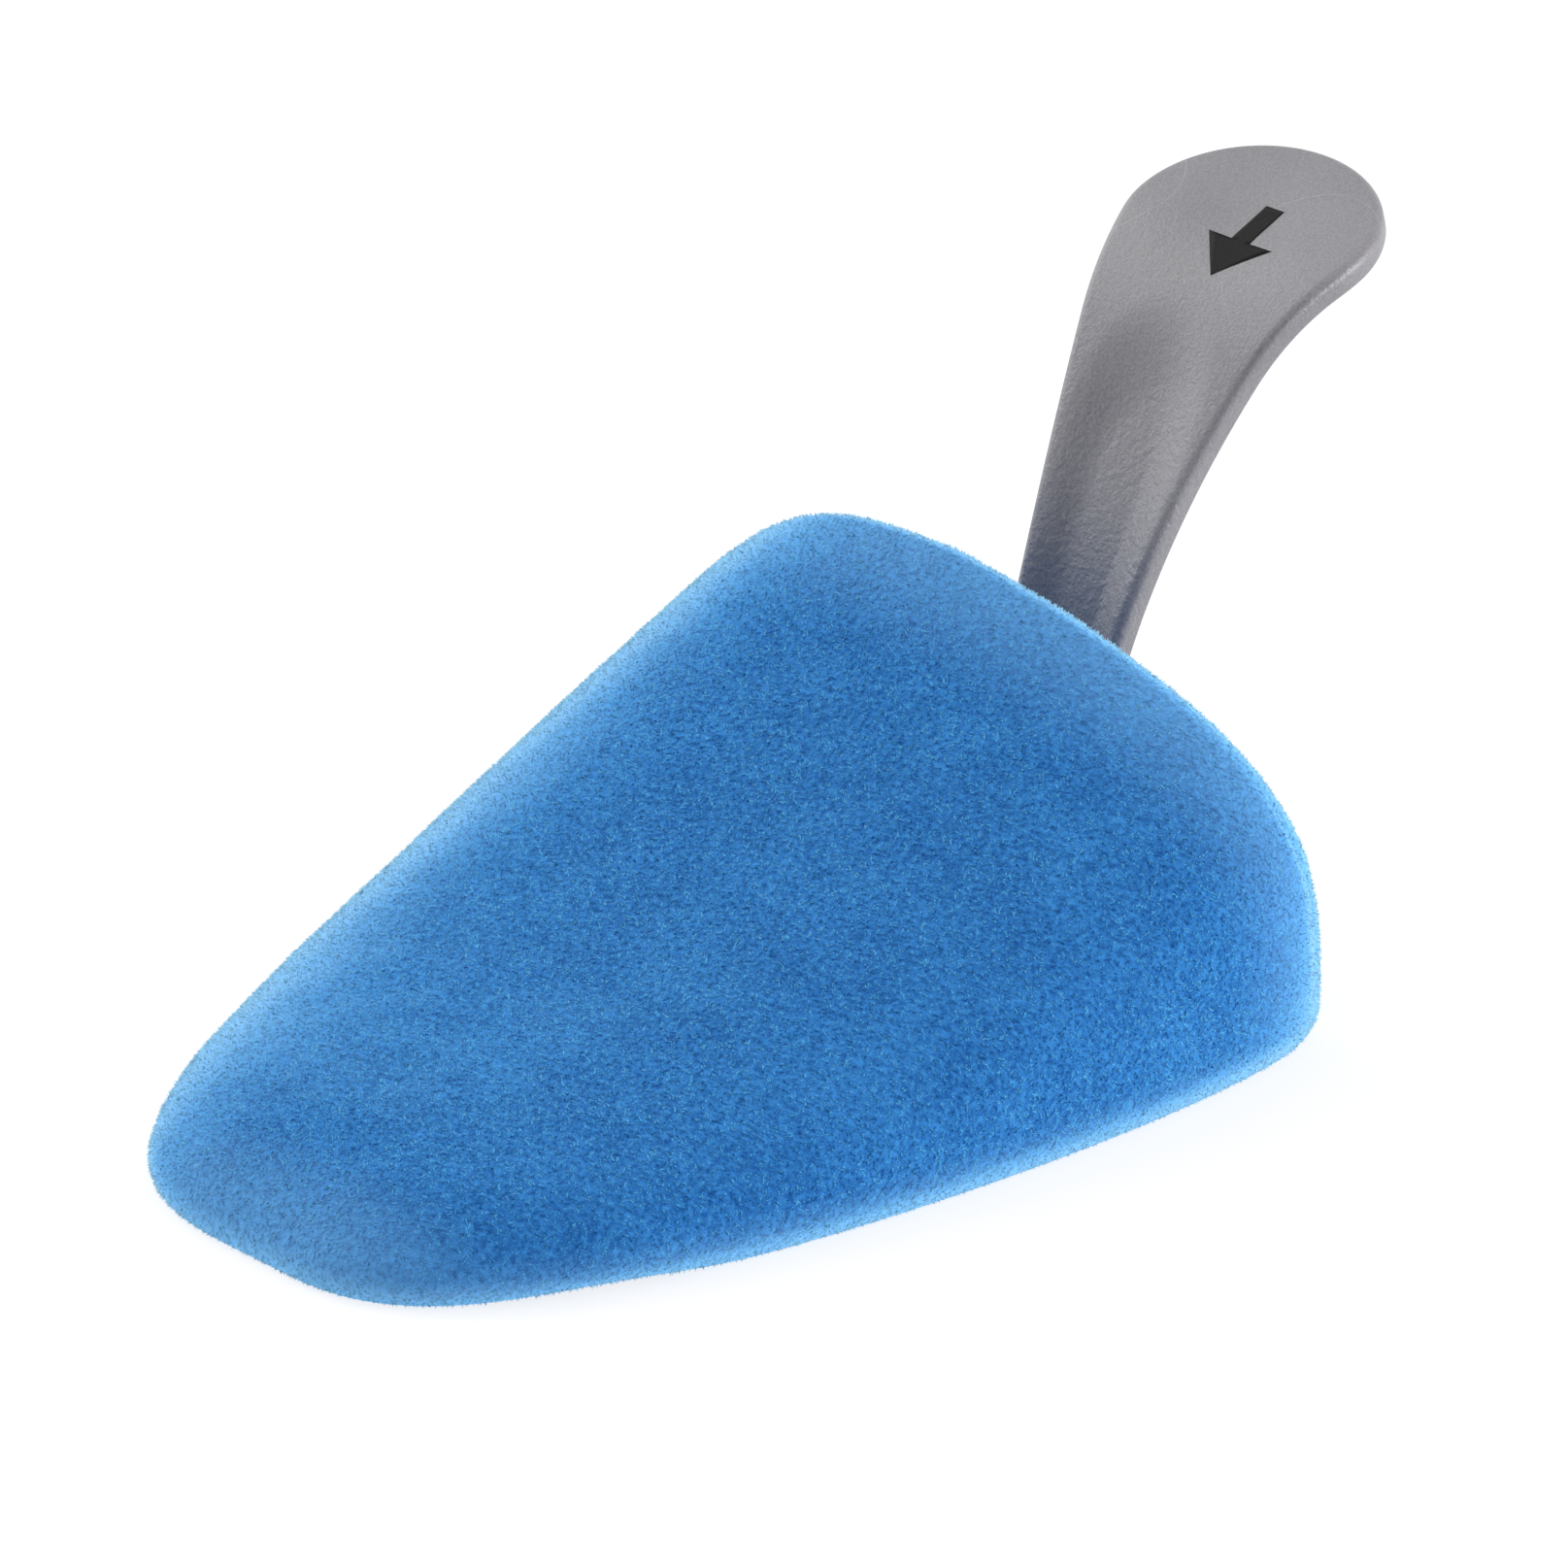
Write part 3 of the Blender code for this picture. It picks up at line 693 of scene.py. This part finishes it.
def lay_out_fibres(mesh):
    """A map with a cell for each fibre, ordered as they lie, so that far mip levels keep their colour."""
    count = len(mesh.vertices) // 4
    root = read_vectors(mesh.vertices, "co")[::4]
    side = math.ceil(math.sqrt(count))
    order = np.argsort(root[:, 0])
    cell = np.empty((count, 2))
    for column in range(math.ceil(count / side)):
        members = order[column * side:(column + 1) * side]
        ranked = members[np.argsort(root[members, 1])]
        cell[ranked, 0] = column
        cell[ranked, 1] = np.arange(len(ranked))
    tip = np.empty(count * 4, np.float32)
    mesh.attributes["tip"].data.foreach_get("value", tip)
    is_tip = tip.reshape(count, 4) >= 0.5
    # Within its cell the tip is at the top, and the three roots are below
    roots_so_far = np.cumsum(~is_tip, axis=1) - 1
    corners = np.array(((0.06, 0.06), (0.94, 0.06), (0.5, 0.34)))
    spot = np.where(is_tip[..., None], (0.5, 0.94), corners[np.clip(roots_so_far, 0, 2)])
    place = ((cell[:, None] + spot) / side).reshape(-1, 2)
    corner = np.empty(len(mesh.loops), np.int32)
    mesh.loops.foreach_get("vertex_index", corner)
    layer = mesh.uv_layers.new(name="OFBake")
    layer.uv.foreach_set("vector", place[corner].astype(np.float32).ravel())


def shade_with_skin(mesh):
    """Shades the fibres mostly along the skin's own normals, so that the pile takes light as one nap."""
    skin = read_vectors(mesh.attributes["skin_normal"].data, "vector")
    own = read_vectors(mesh.vertices, "normal")
    mesh.attributes.remove(mesh.attributes["skin_normal"])
    mesh.normals_split_custom_set_from_vertices(blend(own, skin, SKIN_SHARE))


def grow_pile(name, skin, tree, inside, seed, material, settings):
    """The pile over one part of a skin, as a plain mesh."""
    host = part_of(skin, name + "_draft", inside)
    pile = host.modifiers.new("pile", "NODES")
    pile.node_group = tree
    sockets = [item for item in tree.interface.items_tree if item.in_out == "INPUT"]
    names = {socket.name: socket.identifier for socket in sockets}
    for title, value in {**settings, "Seed": seed, "Fibre": material}.items():
        pile[names[title]] = value
    obj = plain_copy(host, name)
    places = read_vectors(obj.data.vertices, "co")
    places[:, 2] = np.maximum(places[:, 2], FLOOR_CLEARANCE)
    write_places(obj.data, places)
    lay_out_fibres(obj.data)
    shade_with_skin(obj.data)
    return obj


# Sole panel and foam


def shrink_loop(points, distance):
    """A closed flat outline moved inwards by a distance."""
    before = points - np.roll(points, 1, axis=0)
    after = np.roll(points, -1, axis=0) - points
    normals = [np.stack((-edge[:, 1], edge[:, 0]), -1) for edge in (before, after)]
    normals = [n / np.linalg.norm(n, axis=1, keepdims=True) for n in normals]
    middle = normals[0] + normals[1]
    middle /= np.linalg.norm(middle, axis=1, keepdims=True)
    stretch = np.maximum((middle * normals[0]).sum(1, keepdims=True), 0.5)
    moved = points + middle * distance / stretch
    # Where a tight corner would make the outline double back, the two points meet halfway
    ahead = np.roll(moved, -1, axis=0)
    for k in np.flatnonzero(((ahead - moved) * after).sum(1) < 0.0):
        moved[[k, (k + 1) % len(moved)]] = (moved[k] + ahead[k]) / 2.0
    return moved


def make_sole_skin():
    """The sole panel: rings from a line under the ridge out to its edge, over it and back."""
    band = form_band(SOLE_STEPS, SOLE_CORNER_STEPS, 2)[0]
    rear = blend(band[-1], band[0], np.linspace(0.0, 1.0, SOLE_REAR_STEPS + 1)[1:-1, None])
    loop = np.concatenate((band, rear))[::-1, :2]
    ridge = ridge_points(np.linspace(0.0, np.pi, SOLE_STEPS + 1))[:, :2]
    counts = (SOLE_CORNER_STEPS, SOLE_CORNER_STEPS, len(rear))
    before, after, across = [np.repeat(ridge[:1], count, axis=0) for count in counts]
    spine = np.concatenate((before, ridge, after, across))[::-1]
    edge = shrink_loop(loop, COVER_THICKNESS + SEAT_GAP)
    inner = shrink_loop(loop, COVER_THICKNESS + SEAT_GAP + SOLE_EDGE)
    rings = [(blend(spine, inner, share), SOLE_RISE) for share in np.linspace(0.0, 1.0, SOLE_ROWS)]
    for bend in np.radians((30.0, 60.0, 90.0)):
        flat = blend(inner, edge, np.sin(bend))
        rings.append((flat, SOLE_RISE + SOLE_EDGE * (1.0 - np.cos(bend))))
    rings += [
        (edge, PANEL_THICKNESS - SOLE_CHAMFER),
        (blend(edge, inner, SOLE_CHAMFER / SOLE_EDGE), PANEL_THICKNESS),
        (inner, PANEL_THICKNESS),
        (spine, PANEL_THICKNESS),
    ]
    points = np.stack([np.column_stack((flat, np.full(len(flat), z))) for flat, z in rings])
    return mesh_from("velour_sole", points, grid_faces(*points.shape[:2], closed=True))


def foam_pits(place):
    """How far the foam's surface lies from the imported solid's, in cells too coarse to be smooth."""
    return FOAM_PIT_DEPTH * noise.noise(Vector(place) / FOAM_PIT_SIZE) - FOAM_SHRINK


def make_foam(material):
    """The foam inside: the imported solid's shape with its pocket, a little smaller and pitted."""
    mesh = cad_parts["foam_core"].data.copy()
    bm = bmesh.new()
    bm.from_mesh(mesh)
    bmesh.ops.remove_doubles(bm, verts=bm.verts, dist=1e-6)
    bm.to_mesh(mesh)
    bm.free()
    mesh.materials.clear()
    obj = new_object("foam_draft", mesh)
    even = obj.modifiers.new("even", "REMESH")
    even.mode = "VOXEL"
    even.voxel_size = FOAM_VOXEL
    even.use_smooth_shade = True
    obj = plain_copy(obj, "foam_filling")
    move_along_normals(obj.data, foam_pits)
    obj.data.materials.append(material)
    return obj


# Handle


def profile(distance):
    """Place and slope of the handle's upper face on its middle line, so far out from the rear face."""
    x, z, slope = 0.0, TONGUE_HEIGHT, 0.0
    if distance < 0.0:
        return distance, z, 0.0
    left = distance
    for length, start, end in HANDLE_STRETCHES:
        run = min(left, length)
        first, turn = math.radians(start), math.radians(end - start) / length
        slope = first + turn * run
        if abs(turn) > 1e-6:
            x += (math.sin(slope) - math.sin(first)) / turn
            z += (math.cos(first) - math.cos(slope)) / turn
        else:
            x += run * math.cos(first)
            z += run * math.sin(first)
        left -= run
        if left <= 0.0:
            break
    return x, z, slope


def half_width(distance):
    """Half the handle's width: a straight tongue and root, flaring into the pad's round."""
    angle = math.radians(FLARE_ANGLE)
    join = PAD_CENTRE - PAD_HALF_WIDTH * math.sin(angle)
    join_width = PAD_HALF_WIDTH * math.cos(angle)
    power = math.tan(angle) * (join - ROOT_BEND) / (join_width - NECK_HALF_WIDTH)
    share = np.clip((distance - ROOT_BEND) / (join - ROOT_BEND), 0.0, 1.0)
    flare = blend(NECK_HALF_WIDTH, join_width, share ** power)
    back = np.clip(PAD_CENTRE - distance, 0.0, PAD_HALF_WIDTH)
    return np.where(distance >= join, np.sqrt(PAD_HALF_WIDTH ** 2 - back ** 2), flare)


def plan(along, across, inset):
    """Maps a unit square onto the handle laid flat, less an inset all round: distance out and offset."""
    straight = TONGUE_LENGTH - TONGUE_END_LENGTH
    place = along * (TONGUE_LENGTH + PAD_CENTRE + PAD_END_LENGTH) - TONGUE_END_LENGTH
    distance = place - straight
    offset = across * (half_width(distance) - inset)
    # The rounded ends: where each starts, its direction, its length and half its width
    ends = (
        (-straight, -1.0, TONGUE_END_LENGTH, NECK_HALF_WIDTH),
        (PAD_CENTRE, 1.0, PAD_END_LENGTH, PAD_HALF_WIDTH),
    )
    for start, ahead, length, side in ends:
        beyond = ahead * (place - straight - start)
        chosen = beyond > 0.0
        share = np.clip(beyond / length, 0.0, 1.0)
        out = start + ahead * (length - inset) * share * np.sqrt(1.0 - across ** 2 / 2.0)
        distance = np.where(chosen, out, distance)
        offset = np.where(chosen, (side - inset) * across * np.sqrt(1.0 - share ** 2 / 2.0), offset)
    return distance, offset


def place_on_handle(distance, offset, depth):
    """Points so far below the handle's upper face."""
    x, z, slope = np.vectorize(profile)(distance)
    return np.stack((
        x + np.sin(slope) * depth,
        HANDLE_OFFSET + offset,
        z - np.cos(slope) * depth,
    ), -1)


def upper_face_depth(distance, offset):
    """How far the upper face is sunk: a trough down the neck with a U-shaped end, and a dished pad."""
    across = np.abs(offset) / (TROUGH_SHARE * half_width(np.minimum(distance, PAD_CENTRE)))
    beyond = np.maximum(distance - (TROUGH_END - TROUGH_END_LENGTH), 0.0) / TROUGH_END_LENGTH
    trough = smooth_step((1.0 + TROUGH_WALL / 2.0 - np.hypot(across, beyond)) / TROUGH_WALL)
    trough *= TROUGH_DEPTH * smooth_step((distance - ROOT_BEND / 2.0) / (ROOT_BEND / 2.0))
    around = np.hypot(offset, distance - PAD_CENTRE) / PAD_DISH_RADIUS
    return trough + PAD_DISH * (1.0 - smooth_step(around))


def lower_face_depth(distance, offset):
    """The lower face, with the round marks of the mould's ejector pins."""
    depth = np.full_like(distance, BLADE_THICKNESS)
    for place in PIN_MARK_PLACES:
        away = np.hypot(distance - place, offset)
        depth -= PIN_MARK_DEPTH * smooth_step((PIN_MARK_RADIUS - away) / PIN_MARK_EDGE + 0.5)
    return depth


def rim_of(numbers):
    """A grid's numbers once round its edge."""
    return np.concatenate((numbers[:-1, 0], numbers[-1, :-1], numbers[:0:-1, -1], numbers[0, :0:-1]))


def make_handle(material):
    """The moulded blade: two faces, a side band with rounded edges, and the tongue's key holes."""
    steps = (np.linspace(0.0, 1.0, HANDLE_STEPS + 1), np.linspace(-1.0, 1.0, HANDLE_ROWS + 1))
    along, across = np.meshgrid(*steps, indexing="ij")
    shape = along.shape
    rim = rim_of(np.arange(along.size).reshape(shape))
    rim_along, rim_across = along.ravel()[rim], across.ravel()[rim]

    # Inset and depth of each ring down the side band
    insets, drops = 1.0 - np.sin(EDGE_BENDS), 1.0 - np.cos(EDGE_BENDS)
    rings = list(zip(TOP_EDGE_RADIUS * insets, TOP_EDGE_RADIUS * drops))
    rings += zip(LOWER_EDGE_RADIUS * insets[::-1], BLADE_THICKNESS - LOWER_EDGE_RADIUS * drops[::-1])
    top = plan(along.ravel(), across.ravel(), TOP_EDGE_RADIUS)
    low = plan(along.ravel(), across.ravel(), LOWER_EDGE_RADIUS)
    points = [
        place_on_handle(*top, upper_face_depth(*top)),
        place_on_handle(*low, lower_face_depth(*low)),
    ]
    for inset, depth in rings:
        distance, offset = plan(rim_along, rim_across, inset)
        points.append(place_on_handle(distance, offset, np.full_like(distance, depth)))

    faces = grid_faces(*shape) + grid_faces(*shape, start=along.size)
    loops = [rim]
    for i in range(len(rings)):
        loops.append(2 * along.size + len(rim) * i + np.arange(len(rim)))
    loops.append(rim + along.size)
    for upper, lower in zip(loops[:-1], loops[1:]):
        faces += zip(upper, np.roll(upper, -1), np.roll(lower, -1), lower)
    mesh = mesh_from("moulded_handle", np.concatenate(points), faces)
    obj = new_object("handle_draft", mesh)

    bm = bmesh.new()
    for hole in KEY_HOLE_PLACES:
        result = bmesh.ops.create_cone(
            bm, cap_ends=True, segments=KEY_HOLE_SIDES, radius1=KEY_HOLE_RADIUS,
            radius2=KEY_HOLE_RADIUS, depth=4.0 * BLADE_THICKNESS,
        )
        spot = PLACE + (hole, HANDLE_OFFSET, MOUTH_MIDDLE)
        bmesh.ops.translate(bm, verts=result["verts"], vec=spot)
    pins = bpy.data.meshes.new("key_pins")
    bm.to_mesh(pins)
    bm.free()
    cutter = new_object("key_pins", pins)
    holes = obj.modifiers.new("key holes", "BOOLEAN")
    holes.operation = "DIFFERENCE"
    holes.solver = "EXACT"
    holes.object = cutter
    obj = plain_copy(obj, "moulded_handle")
    bpy.data.objects.remove(cutter, do_unlink=True)
    obj.data.materials.clear()
    obj.data.materials.append(material)
    return obj


def make_arrow(material):
    """A printed arrow on the pad that points the way into the shoe."""
    tail = ARROW_MIDDLE + ARROW_LENGTH / 2.0
    neck = tail - (ARROW_LENGTH - ARROW_HEAD)
    stations = [(place, ARROW_SHAFT_HALF_WIDTH) for place in np.linspace(tail, neck, ARROW_STEPS)]
    for share in np.linspace(1.0, 0.0, ARROW_STEPS):
        width = max(ARROW_HEAD_HALF_WIDTH * share, ARROW_POINT_HALF_WIDTH)
        stations.append((neck - ARROW_HEAD * (1.0 - share), width))
    places, widths = np.array(stations).T
    distance = np.repeat(places[:, None], ARROW_COLUMNS, axis=1)
    offset = widths[:, None] * np.linspace(-1.0, 1.0, ARROW_COLUMNS) + ARROW_OFFSET
    depth = upper_face_depth(distance, offset)
    sheets = [place_on_handle(distance, offset, depth - rise) for rise in (INK_THICKNESS, -INK_THICKNESS)]
    shape = distance.shape
    rim = rim_of(np.arange(distance.size).reshape(shape))
    after = np.roll(rim, -1)
    faces = grid_faces(*shape) + grid_faces(*shape, start=distance.size)
    faces += zip(rim, after, after + distance.size, rim + distance.size)
    mesh = mesh_from("pad_arrow", np.concatenate(sheets), faces, merge=1e-9)
    obj = new_object("pad_arrow", mesh)
    obj.data.materials.append(material)
    return obj


# Materials


def bump_from(tree, shader, height, distance, strength=1.0, below=None):
    """Feeds the shader's normal from a height, over another bump where one is given."""
    links = {"Height": height, "Distance": distance, "Strength": strength}
    if below is not None:
        links["Normal"] = below
    bump = add(tree, "ShaderNodeBump", links)
    tree.links.new(bump.outputs[0], shader.inputs["Normal"])
    return bump.outputs[0]


def paint(tree, shader, source, mean):
    """Feeds the base colour from a node's socket, with the mean colour as the socket's own value."""
    shader.inputs["Base Color"].default_value = linear(mean)
    tree.links.new(source, shader.inputs["Base Color"])


def nap_painted_sheen(tree, shader, colour, mean):
    """Painted sheen and painted highlight: paler blue where the skin carries the painted highlight, and
    paler the further along the surface it is seen.
    """
    # The painted highlight: a paler blue wherever the skin carries it
    highlighted = mixed(tree, attribute(tree, "painted_highlight"), colour, "#84C8FF")
    # Painted sheen: the colour turns paler blue the further along the surface it is seen
    facing = add(tree, "ShaderNodeLayerWeight", {"Blend": 0.5}).outputs["Facing"]
    share = spread(tree, facing, *PAINTED_SHEEN_RANGE, to_high=PAINTED_SHEEN_SHARE, interpolation_type="SMOOTHSTEP")
    pale = mixed(tree, share, "#5CBAFF", "#9CD2FF")
    paint(tree, shader, mixed(tree, share, highlighted, pale), mean)
    set_shader(shader, Roughness=0.9, Specular_IOR_Level=0.1)
    set_shader(shader, Sheen_Weight=0.3, Sheen_Roughness=0.5, Sheen_Tint=linear("#8CD2FF"))


def velour_ground(name, deep, pale, mean):
    """The flocked base between the fibres: nearly matt, painted darker than their ends as shade down in
    the pile, mottled in clumps.
    """
    material, tree, shader = new_material(name)
    spot = object_place(tree)
    clump = cloud(tree, spot, GROUND_CLUMP_SIZE, 3.0)
    patch = maths(tree, "MULTIPLY", cloud(tree, spot, GROUND_PATCH_SIZE), GROUND_PATCH_SHARE)
    both = maths(tree, "MULTIPLY_ADD", clump, 1.0 - GROUND_PATCH_SHARE, patch)
    # The clumps are painted darker where their bump sinks, as shade; the patches are random tone
    colour = mixed(tree, spread(tree, both, *GROUND_RANGE), deep, pale)
    nap_painted_sheen(tree, shader, colour, mean)
    bump_from(tree, shader, clump, GROUND_BUMP)
    return material


def flock_fibre(name, deep, pale, mean):
    """Cut nylon fibres: deep blue at the root, paler at the cut end, as painted shade down in the pile,
    with the velvet's painted sheen and highlight.
    """
    material, tree, shader = new_material(name)
    spot = object_place(tree)
    # The tip's shift paints shade down in the pile; the fibre's own, the tufts and the patches are random
    # tone
    shifts = (
        (attribute(tree, "tip"), TIP_SHIFT),
        (attribute(tree, "shade"), OWN_SHIFT),
        (spread(tree, cloud(tree, spot, TUFT_SIZE), *NOISE_RANGE), TUFT_SHIFT),
        (spread(tree, cloud(tree, spot, TUFT_PATCH_SIZE), *NOISE_RANGE), PATCH_SHIFT),
    )
    level = 0.5
    for source, amount in shifts:
        level = maths(tree, "MULTIPLY_ADD", source, amount, level)
        level = maths(tree, "SUBTRACT", level, amount / 2.0)
    nap_painted_sheen(tree, shader, mixed(tree, level, deep, pale), mean)
    # Light passes through thin fibres, so the rims glow instead of going dark between them
    set_shader(shader, Subsurface_Weight=0.5, Subsurface_Scale=0.0003)
    set_shader(shader, Subsurface_Radius=(0.4, 0.7, 1.0))
    return material


def open_cell_foam():
    """Soft polyurethane foam: cream, matt and pitted with cells of about a millimetre."""
    material, tree, shader = new_material("open_cell_polyurethane_foam")
    links = {"Vector": object_place(tree), "Scale": 1.0 / FOAM_CELL_SIZE}
    cells = add(tree, "ShaderNodeTexVoronoi", links).outputs["Distance"]
    # Painted shade: each cell's hollow, where the bump sinks, is painted darker
    paint(tree, shader, mixed(tree, cells, "#B9B4A4", "#E9E5D8"), "#D1CDBF")
    bump_from(tree, shader, cells, FOAM_CELL_BUMP)
    set_shader(shader, Roughness=0.95)
    return material


def hairlines(tree, spot, blotch):
    """A few hairline scuffs: the level curves of a slow noise, kept where the blotches are."""
    swirl = cloud(tree, spot, SCUFF_SWIRL_SIZE, 0.0)
    away = maths(tree, "ABSOLUTE", maths(tree, "SUBTRACT", swirl, 0.5))
    line = spread(tree, away, 0.0, SCUFF_HALF_WIDTH, SCUFF_SHARE, 0.0)
    return maths(tree, "MULTIPLY", line, spread(tree, blotch, 0.46, 0.58))


def satin_polypropylene():
    """Moulded polypropylene: mid grey, satin, with a fine orange peel and a few hairline scuffs."""
    material, tree, shader = new_material("satin_moulded_polypropylene")
    spot = object_place(tree)
    blotch = cloud(tree, spot, PLASTIC_CLOUD_SIZE)
    peel = cloud(tree, spot, PEEL_SIZE)
    speck = cloud(tree, spot, SPECK_SIZE, 1.0)
    mottle = mixed(
        tree, 0.6, spread(tree, blotch, 0.3, 0.7), spread(tree, speck, 0.35, 0.65), kind="FLOAT"
    )
    colour = mixed(tree, mottle, "#6D6C71", "#828085")
    worn = mixed(tree, hairlines(tree, spot, blotch), colour, "#A9A7AB")
    paint(tree, shader, worn, "#78767B")
    tree.links.new(spread(tree, blotch, 0.3, 0.7, 0.34, 0.42), shader.inputs["Roughness"])
    # The peel shows on the neck, which cooled fast, and hardly on the pad
    height = add(tree, "ShaderNodeSeparateXYZ", {0: spot}).outputs["Z"]
    grain = spread(tree, height, *PEEL_FADE, 1.0, PEEL_ON_PAD)
    coarse = bump_from(tree, shader, peel, PEEL_BUMP, strength=grain)
    bump_from(tree, shader, speck, SPECK_BUMP, below=coarse)
    set_shader(shader, IOR=1.49, Specular_IOR_Level=0.85)
    return material


def print_ink():
    """Pad-printed ink: near black, slightly glossy, thin enough to show the grain below."""
    material, tree, shader = new_material("pad_printed_ink")
    grain = cloud(tree, object_place(tree), INK_GRAIN_SIZE)
    paint(tree, shader, mixed(tree, grain, "#151414", "#262424"), "#1E1C1C")
    bump_from(tree, shader, grain, INK_BUMP)
    set_shader(shader, Roughness=0.55, Specular_IOR_Level=0.10)
    return material


# Studio


def seamless_paper():
    """White paper on a light table: it shows as white, lights the object and keeps a faint shadow."""
    material, tree, shader = new_material("seamless_white_paper")
    set_shader(shader, Base_Color=linear("#FAFAFA"), Roughness=0.9, Specular_IOR_Level=0.0)
    links = {"Color": (1.0, 1.0, 1.0, 1.0), "Strength": PAPER_GLOW_STRENGTH}
    glow = add(tree, "ShaderNodeEmission", links)
    mix = add(tree, "ShaderNodeMixShader", {0: PAPER_GLOW, 1: shader.outputs[0], 2: glow.outputs[0]})
    tree.links.new(mix.outputs[0], tree.nodes["Material Output"].inputs["Surface"])
    return material


def make_studio():
    """A white paper floor in a white tent that is open, and so darker, on the camera's side."""
    bm = bmesh.new()
    bmesh.ops.create_grid(bm, x_segments=1, y_segments=1, size=PAPER_SIZE)
    mesh = bpy.data.meshes.new("paper_floor")
    bm.to_mesh(mesh)
    bm.free()
    floor = new_object("paper_floor", mesh)
    floor.location.z = -PAPER_DROP
    mesh.materials.append(seamless_paper())

    world = bpy.data.worlds.new("light_tent")
    bpy.context.scene.world = world
    world.use_nodes = True
    tree = world.node_tree
    tree.nodes.clear()
    look = add(tree, "ShaderNodeTexCoord").outputs["Generated"]
    opening = (CAMERA_PLACE - CAMERA_AIM).normalized()
    links = {0: look, 1: tuple(opening)}
    facing = add(tree, "ShaderNodeVectorMath", links, operation="DOT_PRODUCT").outputs["Value"]
    levels = (TENT_LEVEL, TENT_OPENING)
    wall = spread(tree, facing, *TENT_OPENING_RANGE, *levels, interpolation_type="SMOOTHSTEP")
    # The camera sees plain white, whatever the tent's level
    path = add(tree, "ShaderNodeLightPath").outputs
    seen = maths(tree, "MAXIMUM", path["Is Camera Ray"], path["Is Transmission Ray"])
    links = {"Color": (1.0, 1.0, 1.0, 1.0), "Strength": mixed(tree, seen, wall, 1.0, kind="FLOAT")}
    glow = add(tree, "ShaderNodeBackground", links)
    out = add(tree, "ShaderNodeOutputWorld", {"Surface": glow.outputs[0]})
    out.is_active_output = True

    for name, place, size, power in LAMPS:
        lamp = bpy.data.lights.new(name, "AREA")
        lamp.shape = "DISK"
        lamp.size = size
        lamp.energy = power
        obj = new_object(name, lamp)
        obj.location = place
        obj.rotation_mode = "QUATERNION"
        obj.rotation_quaternion = (CAMERA_AIM - Vector(place)).to_track_quat("-Z", "Y")

    camera = bpy.data.cameras.new("camera")
    camera.lens = CAMERA_LENS
    camera.sensor_width = SENSOR_WIDTH
    camera.clip_start = 0.05
    camera.clip_end = 20.0
    obj = new_object("camera", camera)
    obj.location = CAMERA_PLACE
    obj.rotation_mode = "QUATERNION"
    obj.rotation_quaternion = (CAMERA_AIM - CAMERA_PLACE).to_track_quat("-Z", "Y")
    bpy.context.scene.camera = obj
    bpy.context.scene.view_settings.view_transform = "Standard"


# Which parts of the skins each pile grows on


def on_rear_face(place):
    return place.x > PLACE[0] - REAR_FACE_DEPTH


def in_mouth(place):
    """Inside the handle's mouth, which is too tight for fibres to stand up."""
    back, y, z = PLACE[0] - place.x, place.y - PLACE[1], place.z
    sunk = REAR_FACE_DEPTH <= back < 2.0 * LIP_DEPTH
    beside = abs(y - HANDLE_OFFSET) < MOUTH_HALF_WIDTH + LIP_RADIUS
    level = abs(z - MOUTH_MIDDLE) < MOUTH_HALF_HEIGHT + LIP_RADIUS
    return sunk and beside and level


def on_skin(place):
    return not on_rear_face(place) and not in_mouth(place)


def on_sole_face(place):
    return place.z < SOLE_RISE + SOLE_FACE_TOLERANCE


def main():
    make_studio()
    ground = velour_ground("nylon_velour_ground", "#1C5DA4", "#3785CC", "#2B72B9")
    fibre = flock_fibre("cut_nylon_flock", "#13509E", "#4BA8EB", "#2F7CC5")
    sole_ground = velour_ground("rubbed_velour_ground", "#1A4A8E", "#2862A8", "#21569B")
    sole_fibre = flock_fibre("rubbed_nylon_flock", "#2060AA", "#4496DC", "#327CC4")

    skin = make_skin()
    middle = PLACE[0] - FORM_LENGTH / 2.0
    ridge = RIDGE_OFFSET + PLACE[1]
    tree = pile_tree()
    regions = (
        ("pile_outer_toe", lambda p: p.y < ridge and p.x < middle and on_skin(p)),
        ("pile_outer_side", lambda p: p.y < ridge and p.x >= middle and on_skin(p)),
        ("pile_inner", lambda p: p.y >= ridge and on_skin(p)),
        ("pile_rear", on_rear_face),
    )
    for seed, (name, inside) in enumerate(regions):
        pile = grow_pile(name, skin, tree, inside, seed, fibre, PILE)
        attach(pile, "former")
    cover = make_cover(skin, ground)
    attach(cover, "former")
    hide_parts("upper_cover")

    sole = new_object("velour_sole", make_sole_skin())
    sole.data.materials.append(sole_ground)
    settings = (on_sole_face, SOLE_PILE_SEED, sole_fibre, SOLE_PILE)
    pile = grow_pile("pile_sole", sole.data, tree, *settings)
    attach(pile, "former")
    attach(sole, "former")
    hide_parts("sole_panel")

    foam = make_foam(open_cell_foam())
    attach(foam, "former")
    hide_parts("foam_core")

    handle = make_handle(satin_polypropylene())
    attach(handle, "handle")
    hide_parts("handle")
    arrow = make_arrow(print_ink())
    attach(arrow, "handle")


main()
